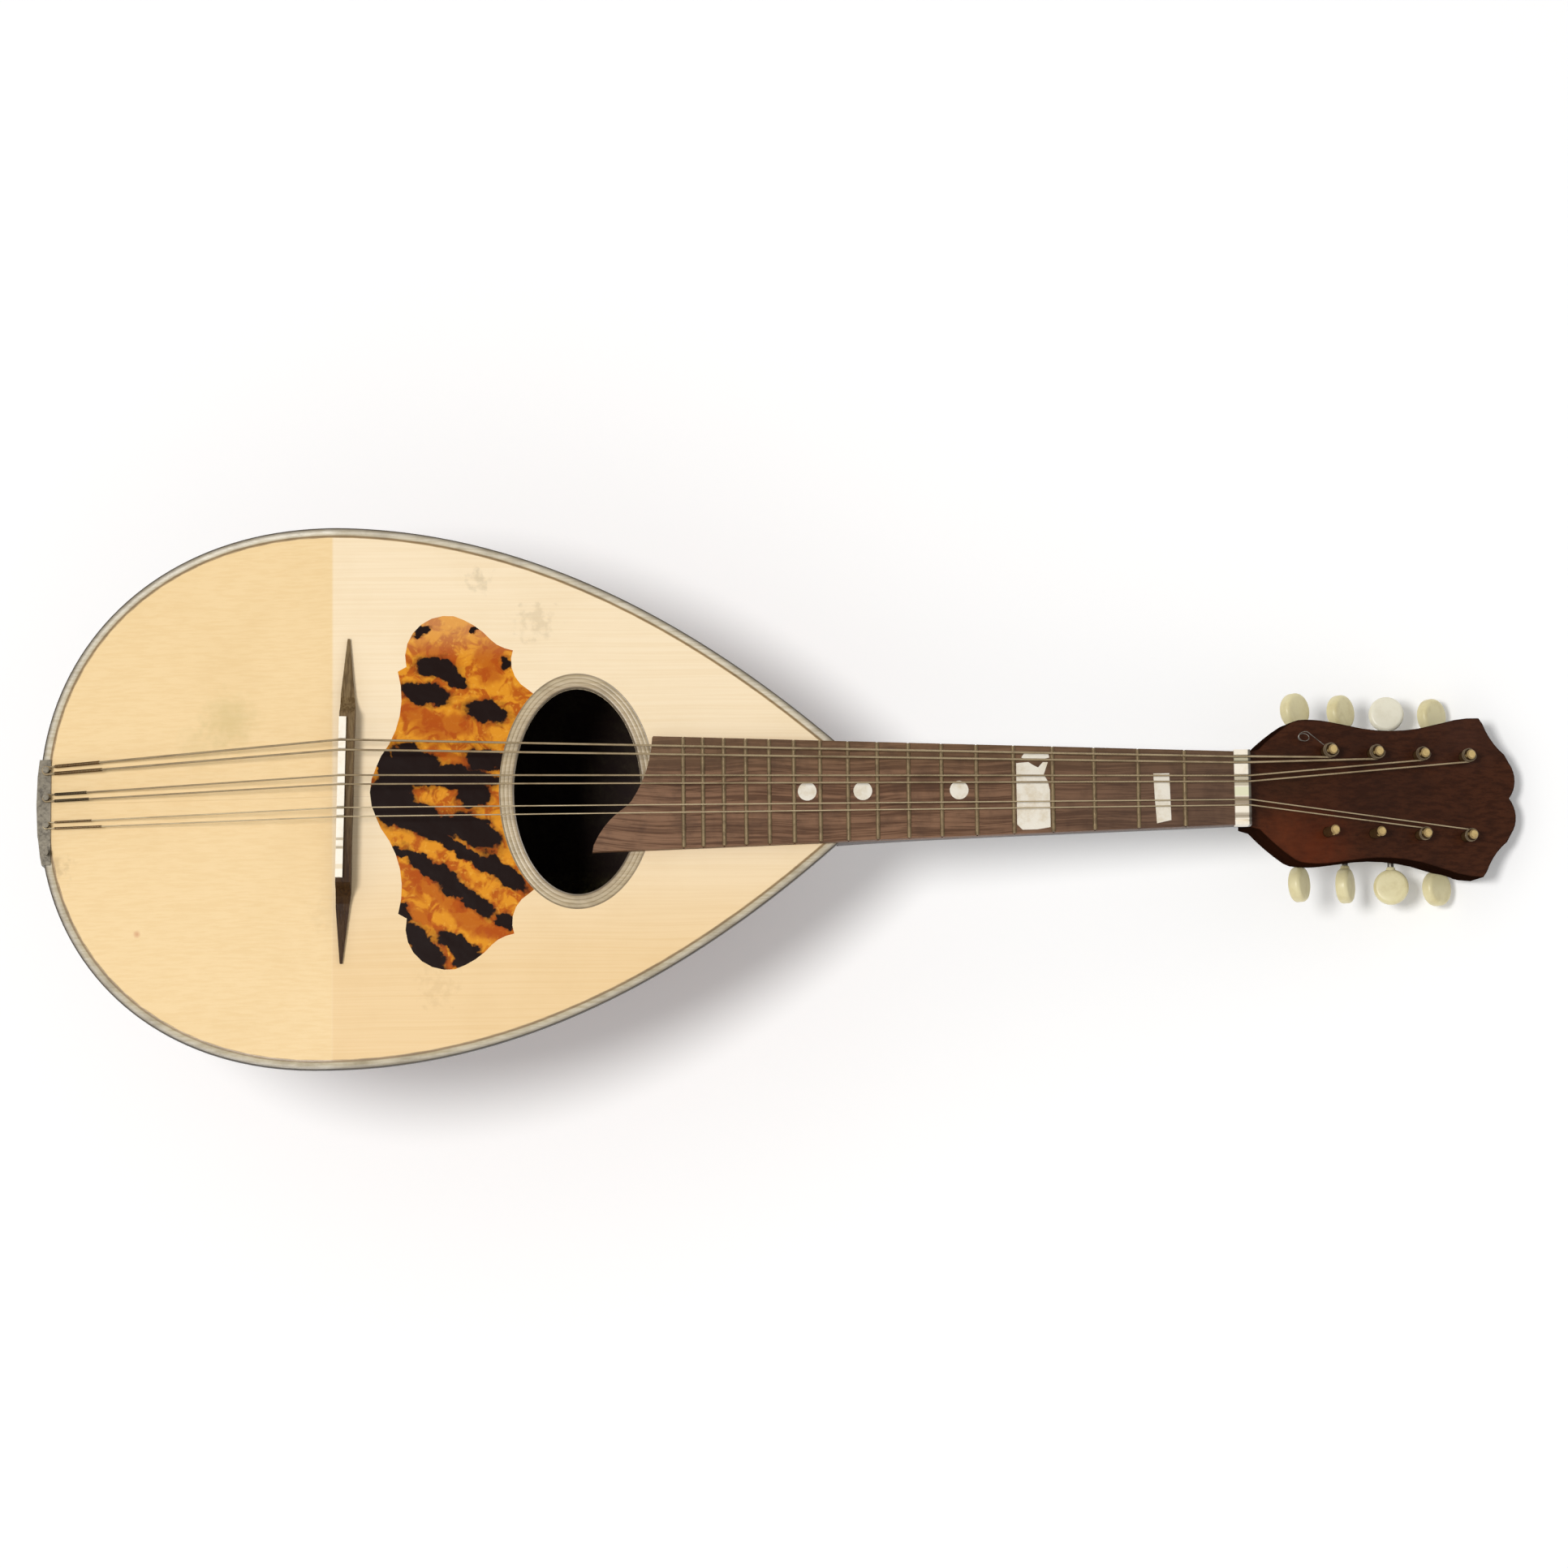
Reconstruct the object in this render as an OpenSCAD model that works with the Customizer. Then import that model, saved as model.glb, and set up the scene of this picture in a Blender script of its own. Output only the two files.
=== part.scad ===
// Bowl back mandolin, lying on its back with the head touching the table.
// The instrument is drawn with x from the tail to the head, y across and z out of
// the face (z = 0 is the flat part of the face), then tipped into its resting pose.

/* [Body] */
// Length of the body from the tail to the neck joint
body_l = 300; // [280:1:320]
// Greatest width of the body
body_w = 205; // [190:1:220]
// Distance from the tail to the widest place
wide_x = 109; // [100:1:120]
// Squareness of the round end of the outline, where 2 is an ellipse
outline_power = 2.15; // [2:0.05:2.4]
// Greatest depth of the bowl below the face
bowl_d = 138; // [125:1:150]
// Distance from the tail to the deepest place
deep_x = 125; // [115:1:135]
// Depth of the bowl at the neck joint
heel_d = 45; // [38:1:55]
// Squareness of the round end of the side view
bowl_power = 2.2; // [2:0.05:2.4]
// Number of ribs
rib_n = 15; // [11:2:19]
// Thickness of a rib
rib_t = 2.2; // [1.6:0.1:3]
// How far the ribs stand in from the edge of the face
rib_inset = 1.2; // [0.8:0.1:2]
// Length of the flat that the bowl rests on
rest_flat_l = 18; // [12:1:24]
// Size of the opening left where the ribs meet at the tail, as an angle
tail_opening = 8; // [6:1:10]
// Thickness of the cap over the rib ends
clasp_t = 1.1; // [0.8:0.1:1.5]
// Half width of that cap along the rim
clasp_w = 62; // [50:1:75]
// Depth of that cap at the tail
clasp_d = 34; // [26:1:45]

/* [Soundboard] */
// Thickness of the soundboard
board_t = 2.8; // [2.2:0.1:3.5]
// Distance from the tail to the fold of the soundboard
fold_x = 111; // [100:1:112]
// Angle of the soundboard behind the fold
cant = 7.5; // [5:0.5:9]
// Width of the edge binding
bind_w = 3.8; // [3:0.1:5]
// Distance from the tail to the middle of the soundhole
hole_x = 202.5; // [198:0.5:207]
// Sideways place of the soundhole and the guard
hole_y = 1.5; // [0:0.5:2]
// Half length of the soundhole along the strings
hole_a = 23.8; // [20:0.2:26]
// Half width of the soundhole across the strings
hole_b = 39; // [34:0.5:42]
// Width of the ring around the soundhole
rosette_w = 5.6; // [4:0.2:7]
// Depth of the inlays in the soundboard
inlay_d = 1.2; // [0.8:0.1:1.5]
// Width of a soundboard brace
brace_w = 6; // [5:0.5:8]
// Height of a soundboard brace
brace_h = 10; // [7:0.5:13]
// Distance of each brace from the tail
brace_x = [128, 168, 240]; // [120:1:250]
// Width of the lining strip along the rim
lining_w = 5; // [4:0.5:7]
// Height of the lining strip
lining_h = 7; // [5:0.5:10]
// Length of the tail block
tail_block_l = 20; // [16:1:26]
// Length of the neck block
neck_block_l = 38; // [30:1:46]

/* [Neck and fretboard] */
// Distance from the tail to the end of the fretboard at the nut
nut_x = 448.5; // [446:0.5:451]
// String length that the frets are spaced for
scale_l = 330; // [326:1:334]
// Width of the fretboard at the nut
nut_w = 27.8; // [26:0.2:30]
// Widening of the fretboard for each millimetre away from the nut
board_taper = 0.0686; // [0.06:0.001:0.075]
// Thickness of the fretboard
fretboard_t = 4; // [3.4:0.1:4.6]
// Number of frets
fret_n = 17; // [12:1:17]
// Radius of the fret crown
fret_r = 0.8; // [0.6:0.05:1.1]
// Thickness of the fret tang
tang_t = 0.6; // [0.4:0.05:0.8]
// Depth of the fret tang
tang_d = 1.8; // [1.2:0.1:2.2]
// Length of the nut along the strings
nut_l = 6.1; // [5:0.1:7]
// Depth of the neck just before the head
neck_d = 14.5; // [13:0.5:17]
// Length of the heel where the neck deepens
heel_l = 70; // [55:1:85]
// Radius of a position dot
dot_r = 3.5; // [2.5:0.1:3.8]
// Depth of the pearl markers
marker_d = 1.2; // [0.8:0.1:1.5]

/* [Head] */
// Angle of the head behind the line of the neck
rake = 16; // [13:1:18]
// Thickness of the head
head_t = 12; // [10:0.5:13]
// Distance from the nut to the first post along the head
post_u0 = 31.5; // [30:0.5:33]
// Distance between posts along the head
post_step = 18.9; // [18:0.1:19.2]
// Distance of each row of posts from the middle of the head
post_v = 15.3; // [14.8:0.1:15.6]
// Radius of a post
post_r = 1.85; // [1.7:0.05:2]
// Height of a post above the head
post_h = 8; // [7:0.5:10]
// Radius of the string bore across a post
string_bore_r = 0.75; // [0.7:0.05:0.85]
// Height of that bore above the head
string_bore_h = 6.4; // [5.5:0.1:6.6]

/* [Tuning machines] */
// Number of teeth of a gear
gear_n = 14; // [12:1:16]
// Pitch radius of a gear
gear_r = 3.7; // [3.5:0.05:3.9]
// Pitch radius of the worm
worm_r = 1.9; // [1.8:0.05:2.1]
// Thickness of a gear
gear_t = 2.6; // [2:0.1:3]
// Height of the teeth beyond the pitch circle
tooth_add = 0.5; // [0.4:0.02:0.55]
// Thickness of a tooth or a thread on the pitch line
tooth_t = 0.62; // [0.5:0.02:0.66]
// Thickness of the machine plate
plate_t = 1; // [0.8:0.1:1.4]
// Width of the machine plate
plate_w = 13; // [12:0.5:15]
// Radius of a worm shaft
shaft_r = 1.2; // [1.1:0.05:1.3]
// Half distance between the ears that carry a worm shaft
ear_v = 4; // [3.8:0.1:4.4]
// Thickness of an ear
ear_t = 1.3; // [1:0.1:1.5]
// Distance of a button's middle from the middle of the head
button_v = 33.3; // [32.5:0.1:36]
// Radius of a button
button_r = 6.7; // [6:0.1:7]
// Thickness of a button
button_t = 4.8; // [4:0.1:5.6]
// Radius of a small wood screw
screw_r = 0.8; // [0.6:0.05:1]
// Length of a small wood screw in the wood
screw_l = 6; // [4:0.5:8]

/* [Bridge and tailpiece] */
// Distance from the tail to the saddle
saddle_x = 114.6; // [114.2:0.1:115.5]
// Sideways place of the bridge
bridge_y = -1.6; // [-3:0.1:1]
// Turn of the bridge
bridge_skew = -1.4; // [-2:0.1:0]
// Half length of the bridge with its wings
bridge_half_l = 61.3; // [56:0.5:66]
// Width of the bridge
bridge_w = 5.6; // [5:0.1:6.5]
// Height of the strings above the face at the saddle
saddle_z = 11.2; // [10:0.1:12.5]
// Thickness of the saddle
saddle_t = 2.7; // [2.2:0.1:3]
// Half length of the saddle
saddle_half_l = 30.2; // [28:0.2:32]
// Sideways place of the tailpiece
tail_y = -3; // [-5:0.5:0]
// Distance between the hooks of the tailpiece
hook_step = 10.4; // [9:0.1:11.5]
// Distance from the tail to the hooks
hook_x = 3; // [2.6:0.1:4]
// Radius of a hook
hook_r = 0.8; // [0.6:0.05:1]
// Thickness of the tailpiece metal
tail_metal_t = 0.9; // [0.6:0.1:1.2]
// Width of the tailpiece
tail_metal_w = 40; // [36:1:46]
// Depth of the tailpiece down the tail
tail_metal_d = 18; // [14:1:24]

/* [Strings] */
// Radius of each string, course by course from the lowest
string_r = [0.5, 0.4, 0.3]; // [0.2:0.05:0.6]
// Place across the saddle of each string
saddle_y = [19.9, 16.1, 6.5, 3.1, -5.7, -9.1, -17.5, -20.7]; // [-26:0.1:20]
// Place across the nut of each string
nut_y = [11.6, 9.4, 4.4, 2.2, -4.7, -6.8, -11, -12.7]; // [-13:0.1:13]
// Turns of a string around its post
wind_turns = 2.2; // [1.6:0.1:2.5]
// Free gap between the turns
wind_gap = 0.5; // [0.46:0.01:0.6]
// Height of the strings above the face at the nut
nut_z = 5.6; // [5.3:0.05:6]

/* [Clearances] */
// Gap of a shaft that turns in its bore
run_gap = 0.06; // [0.03:0.01:0.1]
// Gap of a pressed or glued seat
seat_gap = 0.02; // [0.01:0.01:0.05]
// Gap between a piece and the curved wall that it is glued to
glue_gap = 0.15; // [0.1:0.05:0.3]
// Gap around a string where it rests or passes
string_gap = 0.1; // [0.05:0.05:0.2]
// Gap beside pieces that turn
side_gap = 0.25; // [0.15:0.05:0.4]

/* [Hidden] */
TUNERS = [1:8];
STRING_NAMES = ["g_string_1", "g_string_2", "d_string_1", "d_string_2", "a_string_1", "a_string_2"];
$fn = 48;

// Turn at rest of each button about its own shaft, upper row then lower row
button_turn = [26, 30, -20, 26, -46, -51, 24, -26];

function unit(v) = v / norm(v);
function mix(a, b, k) = a + (b - a) * k;

// Points of the arc from a through m to b
function arc_centre(a, m, b) =
    let (d = 2 * (a.x * (m.y - b.y) + m.x * (b.y - a.y) + b.x * (a.y - m.y)))
    [(a * a * (m.y - b.y) + m * m * (b.y - a.y) + b * b * (a.y - m.y)) / d,
     (a * a * (b.x - m.x) + m * m * (a.x - b.x) + b * b * (m.x - a.x)) / d];
function arc_points(a, m, b, n = 5) =
    let (c = arc_centre(a, m, b),
         p = atan2(a.y - c.y, a.x - c.x),
         q = atan2(b.y - c.y, b.x - c.x),
         turn = (m.x - a.x) * (b.y - m.y) - (m.y - a.y) * (b.x - m.x),
         sweep = turn > 0 ? (q - p + 720) % 360 : -((p - q + 720) % 360))
    [for (i = [0:n]) c + norm(a - c) * [cos(p + sweep * i / n), sin(p + sweep * i / n)]];
function mirrored(points) = [for (i = [len(points) - 1:-1:0]) [points[i].x, -points[i].y]];

// Outline of the face: half its width at x, drawn in by inset
joint_w = board_width(body_l);
shoulder = (body_w - joint_w) / 2 / pow(body_l - wide_x, 2);
function board_width(x) = nut_w + board_taper * (nut_x - x);
function round_end(p, n) = pow(max(0, 1 - pow(p, n)), 1 / n);
function edge_w(x, inset = 0) =
    x < wide_x
    ? (body_w / 2 - inset) * round_end((wide_x - x) / (wide_x - inset), outline_power)
    : body_w / 2 - shoulder * pow(x - wide_x, 2)
      - inset * sqrt(1 + pow(2 * shoulder * (x - wide_x), 2));
end_steps = 18;
shoulder_steps = 20;
function tail_x(angle, inset) = wide_x - (wide_x - inset) * pow(cos(angle), 2 / outline_power);
function half_outline(inset, past) = concat(
    [for (i = [1:end_steps]) let (x = tail_x(90 * i / end_steps, inset)) [x, edge_w(x, inset)]],
    [for (i = [1:shoulder_steps]) let (x = mix(wide_x, body_l + past, i / shoulder_steps))
        [x, edge_w(x, inset)]]);
function outline(inset = 0, past = 0) =
    concat([[inset, 0]], half_outline(inset, past), mirrored(half_outline(inset, past)));

// The bowl: half width and depth of the ribs' outer face at x, below the soundboard
cant_rise = tan(cant);
rib_step = 180 / rib_n;
function rim_z(x) = -cant_rise * max(0, fold_x - x);
tail_drop = -rim_z(0) + board_t;
fall = (bowl_d - heel_d) / pow(body_l - deep_x, 2);
function bottom(x) =
    x < deep_x
    ? tail_drop + (bowl_d - tail_drop) * round_end((deep_x - x) / (deep_x - rib_inset), bowl_power)
    : bowl_d - fall * pow(x - deep_x, 2);
function rib_d(x) = bottom(x) + rim_z(x) - board_t;
function skin(x, angle) =
    [x, edge_w(x, rib_inset) * sin(angle), rim_z(x) - board_t - rib_d(x) * cos(angle)];
function skin_normal(x, angle) =
    let (e = min(0.5, 0.2 * (x - rib_inset)))
    unit(cross(skin(x + e, angle) - skin(x - e, angle), skin(x, angle + 1) - skin(x, angle - 1)));
// A point at a depth inside that face, moved forward only near the tail
function skin_point(x, angle, depth) =
    let (n = skin_normal(x, angle),
         k = x < wide_x ? (wide_x - x) / (wide_x - rib_inset) : 0,
         d = unit([n.x * k, n.y, n.z]))
    skin(x, angle) + d * depth / (d * n);

// Resting pose: the bowl lies on a flat of its middle rib, and the head on its tip
head_len = 109.2;
facet_k = cos(90 / rib_n);
head_x = nut_x + nut_l;
tip = [head_x + head_len * cos(rake) - head_t * sin(rake), -head_len * sin(rake) - head_t * cos(rake)];
facet_d = board_t + (bowl_d - board_t) * facet_k - facet_k * fall * pow(rest_flat_l / 2, 2);
contact_dx = (tip.x - deep_x)
    - sqrt(pow(tip.x - deep_x, 2) - (facet_d + tip.y) / (facet_k * fall));
contact_x = deep_x + contact_dx;
contact_z = facet_d - facet_k * fall * pow(contact_dx, 2);
pitch = atan(2 * facet_k * fall * contact_dx);
module at_rest() {
    rotate([0, pitch, 0]) translate([-contact_x, 0, contact_z]) children();
}

// Stations along the bowl where its flat stretches meet
tail_stations = 9;
far_stations = 6;
stations = concat(
    [for (i = [0:tail_stations])
        tail_x(mix(tail_opening, 90, pow(i / tail_stations, 1.1)), rib_inset)],
    [mix(wide_x, contact_x - rest_flat_l / 2, 0.5), contact_x - rest_flat_l / 2],
    [for (i = [0:far_stations]) mix(contact_x + rest_flat_l / 2, body_l, i / far_stations)]);

// A closed solid through rings of points; its side faces fold one way up to turn_at
module loft(rings, turn_at = 1000) {
    m = len(rings[0]);
    last = len(rings) - 1;
    sides = [for (i = [0:last - 1]) for (k = [0:m - 1])
        let (a = i * m + k, b = i * m + (k + 1) % m, c = b + m, d = a + m)
        each (k < turn_at ? [[a, b, c], [a, c, d]] : [[a, b, d], [b, c, d]])];
    caps = [for (k = [1:m - 2]) each [[0, k + 1, k], [last * m, last * m + k, last * m + k + 1]]];
    polyhedron([for (r = rings) each r], concat(sides, caps));
}

// The whole bowl as a solid, at a depth inside the ribs' outer face
module bowl_solid(depth) {
    loft([for (x = stations) [for (j = [0:rib_n]) skin_point(x, 90 - 180 * j / rib_n, depth)]]);
}

// A slab of space across the instrument between two distances from the tail
module span(x0, x1, z0 = -200, z1 = 50) {
    translate([x0, -body_w, z0]) cube([x1 - x0, 2 * body_w, z1 - z0]);
}

// The folded layer of the soundboard between two depths under its top
module folded_layer(top, under) {
    over = 10;
    side = [[-over, rim_z(-over)], [fold_x, 0], [body_l + over, 0]];
    rotate([90, 0, 0]) translate([0, 0, -body_w]) linear_extrude(2 * body_w)
        polygon(concat([for (p = side) [p.x, p.y - top]],
                       [for (i = [2:-1:0]) [side[i].x, side[i].y - under]]));
}
module face_plate(inset, past, top, under) {
    intersection() {
        translate([0, 0, -tail_drop - 5]) linear_extrude(tail_drop + 10)
            polygon(outline(inset, past));
        folded_layer(top, under);
    }
}

// Head frame: u along the head from the nut, v across, h out of its face
module on_head() {
    translate([head_x, 0, 0]) rotate([0, rake, 0]) children();
}
function head_point(u, v, h) =
    [head_x + u * cos(rake) + h * sin(rake), v, -u * sin(rake) + h * cos(rake)];
function row(i) = i <= 4 ? 1 : -1;
function post_u(i) = post_u0 + post_step * ((i - 1) % 4);
centre_d = gear_r + worm_r;
function worm_u(i) = post_u(i) - centre_d;
plate_h = -head_t - plate_t;
tooth_tip_r = worm_r + tooth_add;
worm_h = plate_h - tooth_tip_r - side_gap;
worm_lead = 360 / gear_n * PI / 180 * gear_r;
post_end_h = worm_h - gear_t / 2;
pin_r = post_r - 0.35;

// Face and its inlays
function ellipse(a, b, n = 60) = [for (i = [0:n - 1]) [a * cos(360 * i / n), b * sin(360 * i / n)]];
module hole_shape(grow = 0) {
    translate([hole_x, hole_y]) polygon(ellipse(hole_a + grow, hole_b + grow));
}
guard_half = concat(
    arc_points([124.9, 0], [125.6, 5.2], [127.4, 9.9], 2),
    arc_points([129, 13.6], [136.2, 29.5], [135.4, 45.8], 6),
    arc_points([138.6, 47.6], [140.4, 59.4], [152.4, 66.9], 6),
    arc_points([156.4, 66.8], [164, 63.2], [170.4, 57.6], 4),
    arc_points([172.6, 55.8], [175.6, 54.4], [178.6, 53.6], 2),
    arc_points([177.9, 50.6], [178.6, 45.2], [184.2, 38.6], 4),
    [[195, 30]]);
module guard_shape() {
    translate([0, hole_y]) polygon(concat(guard_half, mirrored([for (i = [1:len(guard_half) - 1]) guard_half[i]])));
}
module inlay(top = 0) {
    translate([0, 0, -inlay_d]) linear_extrude(inlay_d + top) children();
}

module soundboard() color("#deb46a") difference() {
    face_plate(bind_w, 0, 0, board_t);
    translate([0, 0, -board_t - 1]) linear_extrude(board_t + 2) hole_shape();
    inlay(1) hole_shape(rosette_w);
    inlay(1) guard_shape();
}

module rim_binding() color("#a8977a") difference() {
    face_plate(0, 0, 0, board_t);
    face_plate(bind_w, 1, -1, board_t + 1);
}

module rosette_ring() color("#cbb48c") inlay() difference() {
    hole_shape(rosette_w);
    hole_shape();
}

module pickguard() color("#8a4a20") inlay() difference() {
    guard_shape();
    hole_shape(rosette_w);
}

// Braces with their ends sloped away, glued under the flat part of the soundboard
module soundboard_braces() color("#d9c08d") for (x = brace_x) {
    reach = edge_w(x, rib_inset) - rib_t - lining_w - brace_w / 2;
    translate([x + brace_w / 2, 0, -board_t]) rotate([90, 0, -90]) linear_extrude(brace_w)
        polygon([[-reach, 0], [reach, 0], [reach, -brace_h / 3], [reach - 2 * brace_h, -brace_h],
                 [2 * brace_h - reach, -brace_h], [-reach, -brace_h / 3]]);
}

// Strips in the corner between the soundboard and the outermost ribs, one along each side
function lining_ring(x, side) =
    let (top = skin_point(x, side * 90, rib_t + 2 * glue_gap),
         wall = skin_point(x, side * (90 - rib_step), rib_t + 2 * glue_gap),
         foot = top + unit(wall - top) * lining_h,
         inward = [0, -side * lining_w, 0])
    side > 0 ? [top, foot, foot + inward, top + inward] : [foot, top, top + inward, foot + inward];
module lining_strips() color("#c9a36b") for (side = [-1, 1])
    loft([for (x = stations) if (x > tail_block_l + 1 && x < body_l - neck_block_l - 1)
        lining_ring(x, side)]);

// Bowl
module bowl_ribs() color("#5a2f1c") for (j = [0:rib_n - 1]) {
    a = 90 - rib_step * j - 0.02;
    b = 90 - rib_step * (j + 1) + 0.02;
    loft([for (x = stations) [skin_point(x, a, 0), skin_point(x, b, 0),
                              skin_point(x, b, rib_t), skin_point(x, a, rib_t)]], 2);
}

// The nose of the tail block closes the opening where the ribs meet
function nose_ring(depth) =
    let (x = stations[0], c = [x + depth, 0, rim_z(x) - board_t - rib_d(x) / 3])
    [for (j = [0:rib_n]) let (p = skin_point(x, 90 - rib_step * j, depth))
        p + unit(c - p) * 2 * glue_gap];
module tail_screws(r, head = 0) {
    seat = skin_point(stations[0], 30, -clasp_t - 3 * glue_gap - tail_metal_t).x - glue_gap;
    for (y = [tail_y - 7, tail_y + 7]) translate([seat, y, -tail_drop - 6]) rotate([0, 90, 0]) {
        translate([0, 0, head > 0 ? 0 : -5]) cylinder(r = r, h = head > 0 ? 12 : 17.2);
        if (head > 0) translate([0, 0, -1]) cylinder(r1 = head * 0.6, r2 = head, h = 1);
    }
}
tail_screw_r = 1.1;
module tail_block() color("#c9a36b") difference() {
    union() {
        intersection() {
            bowl_solid(rib_t + glue_gap);
            span(0, tail_block_l);
        }
        loft([nose_ring(0), nose_ring(rib_t + 1)]);
    }
    tail_screws(tail_screw_r + seat_gap);
}

module neck_block() color("#c9a36b") intersection() {
    bowl_solid(rib_t + glue_gap);
    span(body_l - neck_block_l, body_l);
}

clasp_edge = concat(
    [for (i = [-12:12]) [clasp_w * i / 12, -tail_drop - clasp_d * pow(cos(90 * i / 12), 0.8)]],
    [[clasp_w, 10], [-clasp_w, 10]]);
module tail_clasp() color("#4a2415") difference() {
    intersection() {
        bowl_solid(-glue_gap / 2 - clasp_t);
        translate([-5, 0, 0]) rotate([90, 0, 90]) linear_extrude(wide_x / 2) polygon(clasp_edge);
        folded_layer(board_t, 2 * bowl_d);
    }
    bowl_solid(-glue_gap / 2);
    tail_screws(tail_screw_r + string_gap);
}

// Tailpiece: sheet metal bent over the tail, with a hook for each pair of strings
flange_l = 4.5;
hook_h = 3.6;
function hook_y(i) = tail_y + hook_step * (1.5 - i);
hook_z = rim_z(hook_x) + tail_metal_t;
module tail_form(depth, edge) {
    bowl_solid(-glue_gap - clasp_t - depth);
    face_plate(-seat_gap - edge, 0, -edge, board_t + edge);
}
module tailpiece() color("#b9b3a6") {
    difference() {
        intersection() {
            tail_form(tail_metal_t, tail_metal_t);
            translate([-5, tail_y - tail_metal_w / 2, -tail_drop - tail_metal_d])
                cube([5 + flange_l, tail_metal_w, tail_metal_d + tail_drop + 5]);
        }
        tail_form(0, 0);
        tail_screws(tail_screw_r + string_gap);
    }
    for (i = [0:3]) translate([hook_x, hook_y(i), hook_z - tail_metal_t / 2]) {
        cylinder(r = hook_r, h = hook_h + tail_metal_t / 2);
        translate([0, 0, hook_h + tail_metal_t / 2]) cylinder(r1 = hook_r, r2 = hook_r + 0.4, h = 0.5);
    }
}
module tailpiece_screws() color("#8d8778") tail_screws(tail_screw_r, 2.3);

// Neck: half an ellipse below the fretboard, deepening into the heel
function neck_depth(x) =
    neck_d + 3 * (nut_x - x) / (nut_x - body_l)
    + (heel_d + 0.4 - neck_d - 3) * pow(max(0, 1 - (x - body_l) / heel_l), 2.2);
neck_rings = 16;
head_depth = head_t * cos(rake);
function neck_ring(x, d, tilt) =
    let (w = board_width(min(x, nut_x)) / 2)
    concat([[x, w, 0]],
           [for (j = [0:12]) let (z = -board_t - (d - board_t) * sin(15 * j))
               [x + z * tilt, w * cos(15 * j), z]],
           [[x, -w, 0]]);
module neck() color("#4c2516") loft(concat(
    [for (i = [0:neck_rings]) let (k = i / neck_rings, x = mix(body_l, head_x - 16, pow(k, 1.4)))
        neck_ring(x, neck_depth(x), 0)],
    [neck_ring(head_x, head_depth, tan(rake))]));

// Fretboard with a swept end over the soundhole
board_end = concat(
    arc_points([230.6, 20.8], [228.6, 9.4], [222.6, -3.2], 6),
    arc_points([220.6, -5.2], [213.2, -11.8], [208.5, -19.6], 5));
function fret_x(i) = nut_x - scale_l * (1 - pow(2, -i / 12));
module board_shape() {
    polygon(concat([[nut_x, nut_w / 2], [231, board_width(231) / 2]],
                   board_end,
                   [[208, -board_width(208) / 2], [nut_x, -nut_w / 2]]));
}
module dots(r) {
    for (i = [6, 9, 11]) translate([(fret_x(i) + fret_x(i + 1)) / 2, 0]) circle(r = r);
}
module pearl_shapes() {
    fifth = [fret_x(5) + 1.1, fret_x(4) - 1.1];
    polygon([[fifth[0] + 2, 12.1], [fifth[0] + 3, 13.6], [fifth[0] + 5.6, 14.2], [fifth[0] + 9, 14.2],
             [fifth[1] - 0.4, 13.6], [fifth[1], 12], [fifth[1] - 2.4, 11.5], [fifth[0] + 5, 11]]);
    polygon([[fifth[0], 10], [fifth[0] + 4.6, 10.4], [fifth[0] + 6.4, 9.2], [fifth[0] + 8.2, 8.3],
             [fifth[0] + 10, 10.3], [fifth[1] - 0.6, 10.3], [fifth[1] - 2.2, 5.6], [fifth[1] - 0.8, 3.2],
             [fifth[1], -0.2], [fifth[1], -14.3], [fifth[1] - 5, -15.1], [fifth[0] + 2, -15.2],
             [fifth[0], -13.2]]);
    second = (fret_x(1) + fret_x(2)) / 2 - 3;
    polygon([[second, 5.7], [second + 6, 5.7], [second + 6.4, -12], [second + 1, -13.2], [second + 0.4, -4]]);
}
module marker_forms(top) {
    translate([0, 0, fretboard_t - marker_d]) linear_extrude(marker_d + top) {
        dots(dot_r);
        pearl_shapes();
    }
}
function fret_half(i) = board_width(fret_x(i)) / 2;
module fretboard() color("#6d4632") difference() {
    linear_extrude(fretboard_t) board_shape();
    for (i = [1:fret_n]) translate([fret_x(i) - tang_t / 2, -fret_half(i) - 1, fretboard_t - tang_d])
        cube([tang_t, 2 * fret_half(i) + 2, tang_d + 1]);
    marker_forms(1);
}
module frets() color("#b39a5c") for (i = [1:fret_n]) translate([fret_x(i), 0, fretboard_t]) {
    half = fret_half(i) - 0.3;
    intersection() {
        rotate([90, 0, 0]) translate([0, 0, -half]) cylinder(r = fret_r, h = 2 * half);
        translate([-fret_r, -half, 0]) cube([2 * fret_r, 2 * half, fret_r]);
    }
    translate([-tang_t / 2, -half, -tang_d]) cube([tang_t, 2 * half, tang_d + fret_r / 2]);
}
module position_markers() color("#eee6d2") marker_forms(0);

// Nut with a slot for every string
function course_r(i) = string_r[min(2, floor(i / 2))];
module nut() color("#ece2c6") difference() {
    translate([nut_x, -nut_w / 2 - 0.3, 0]) cube([nut_l, nut_w + 0.6, nut_z + 0.35]);
    for (i = [0:7]) let (r = course_r(i) + string_gap)
        translate([nut_x - 1, nut_y[i] - r, nut_z - r]) cube([nut_l + 2, 2 * r, 2 * r + 1]);
}

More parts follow.
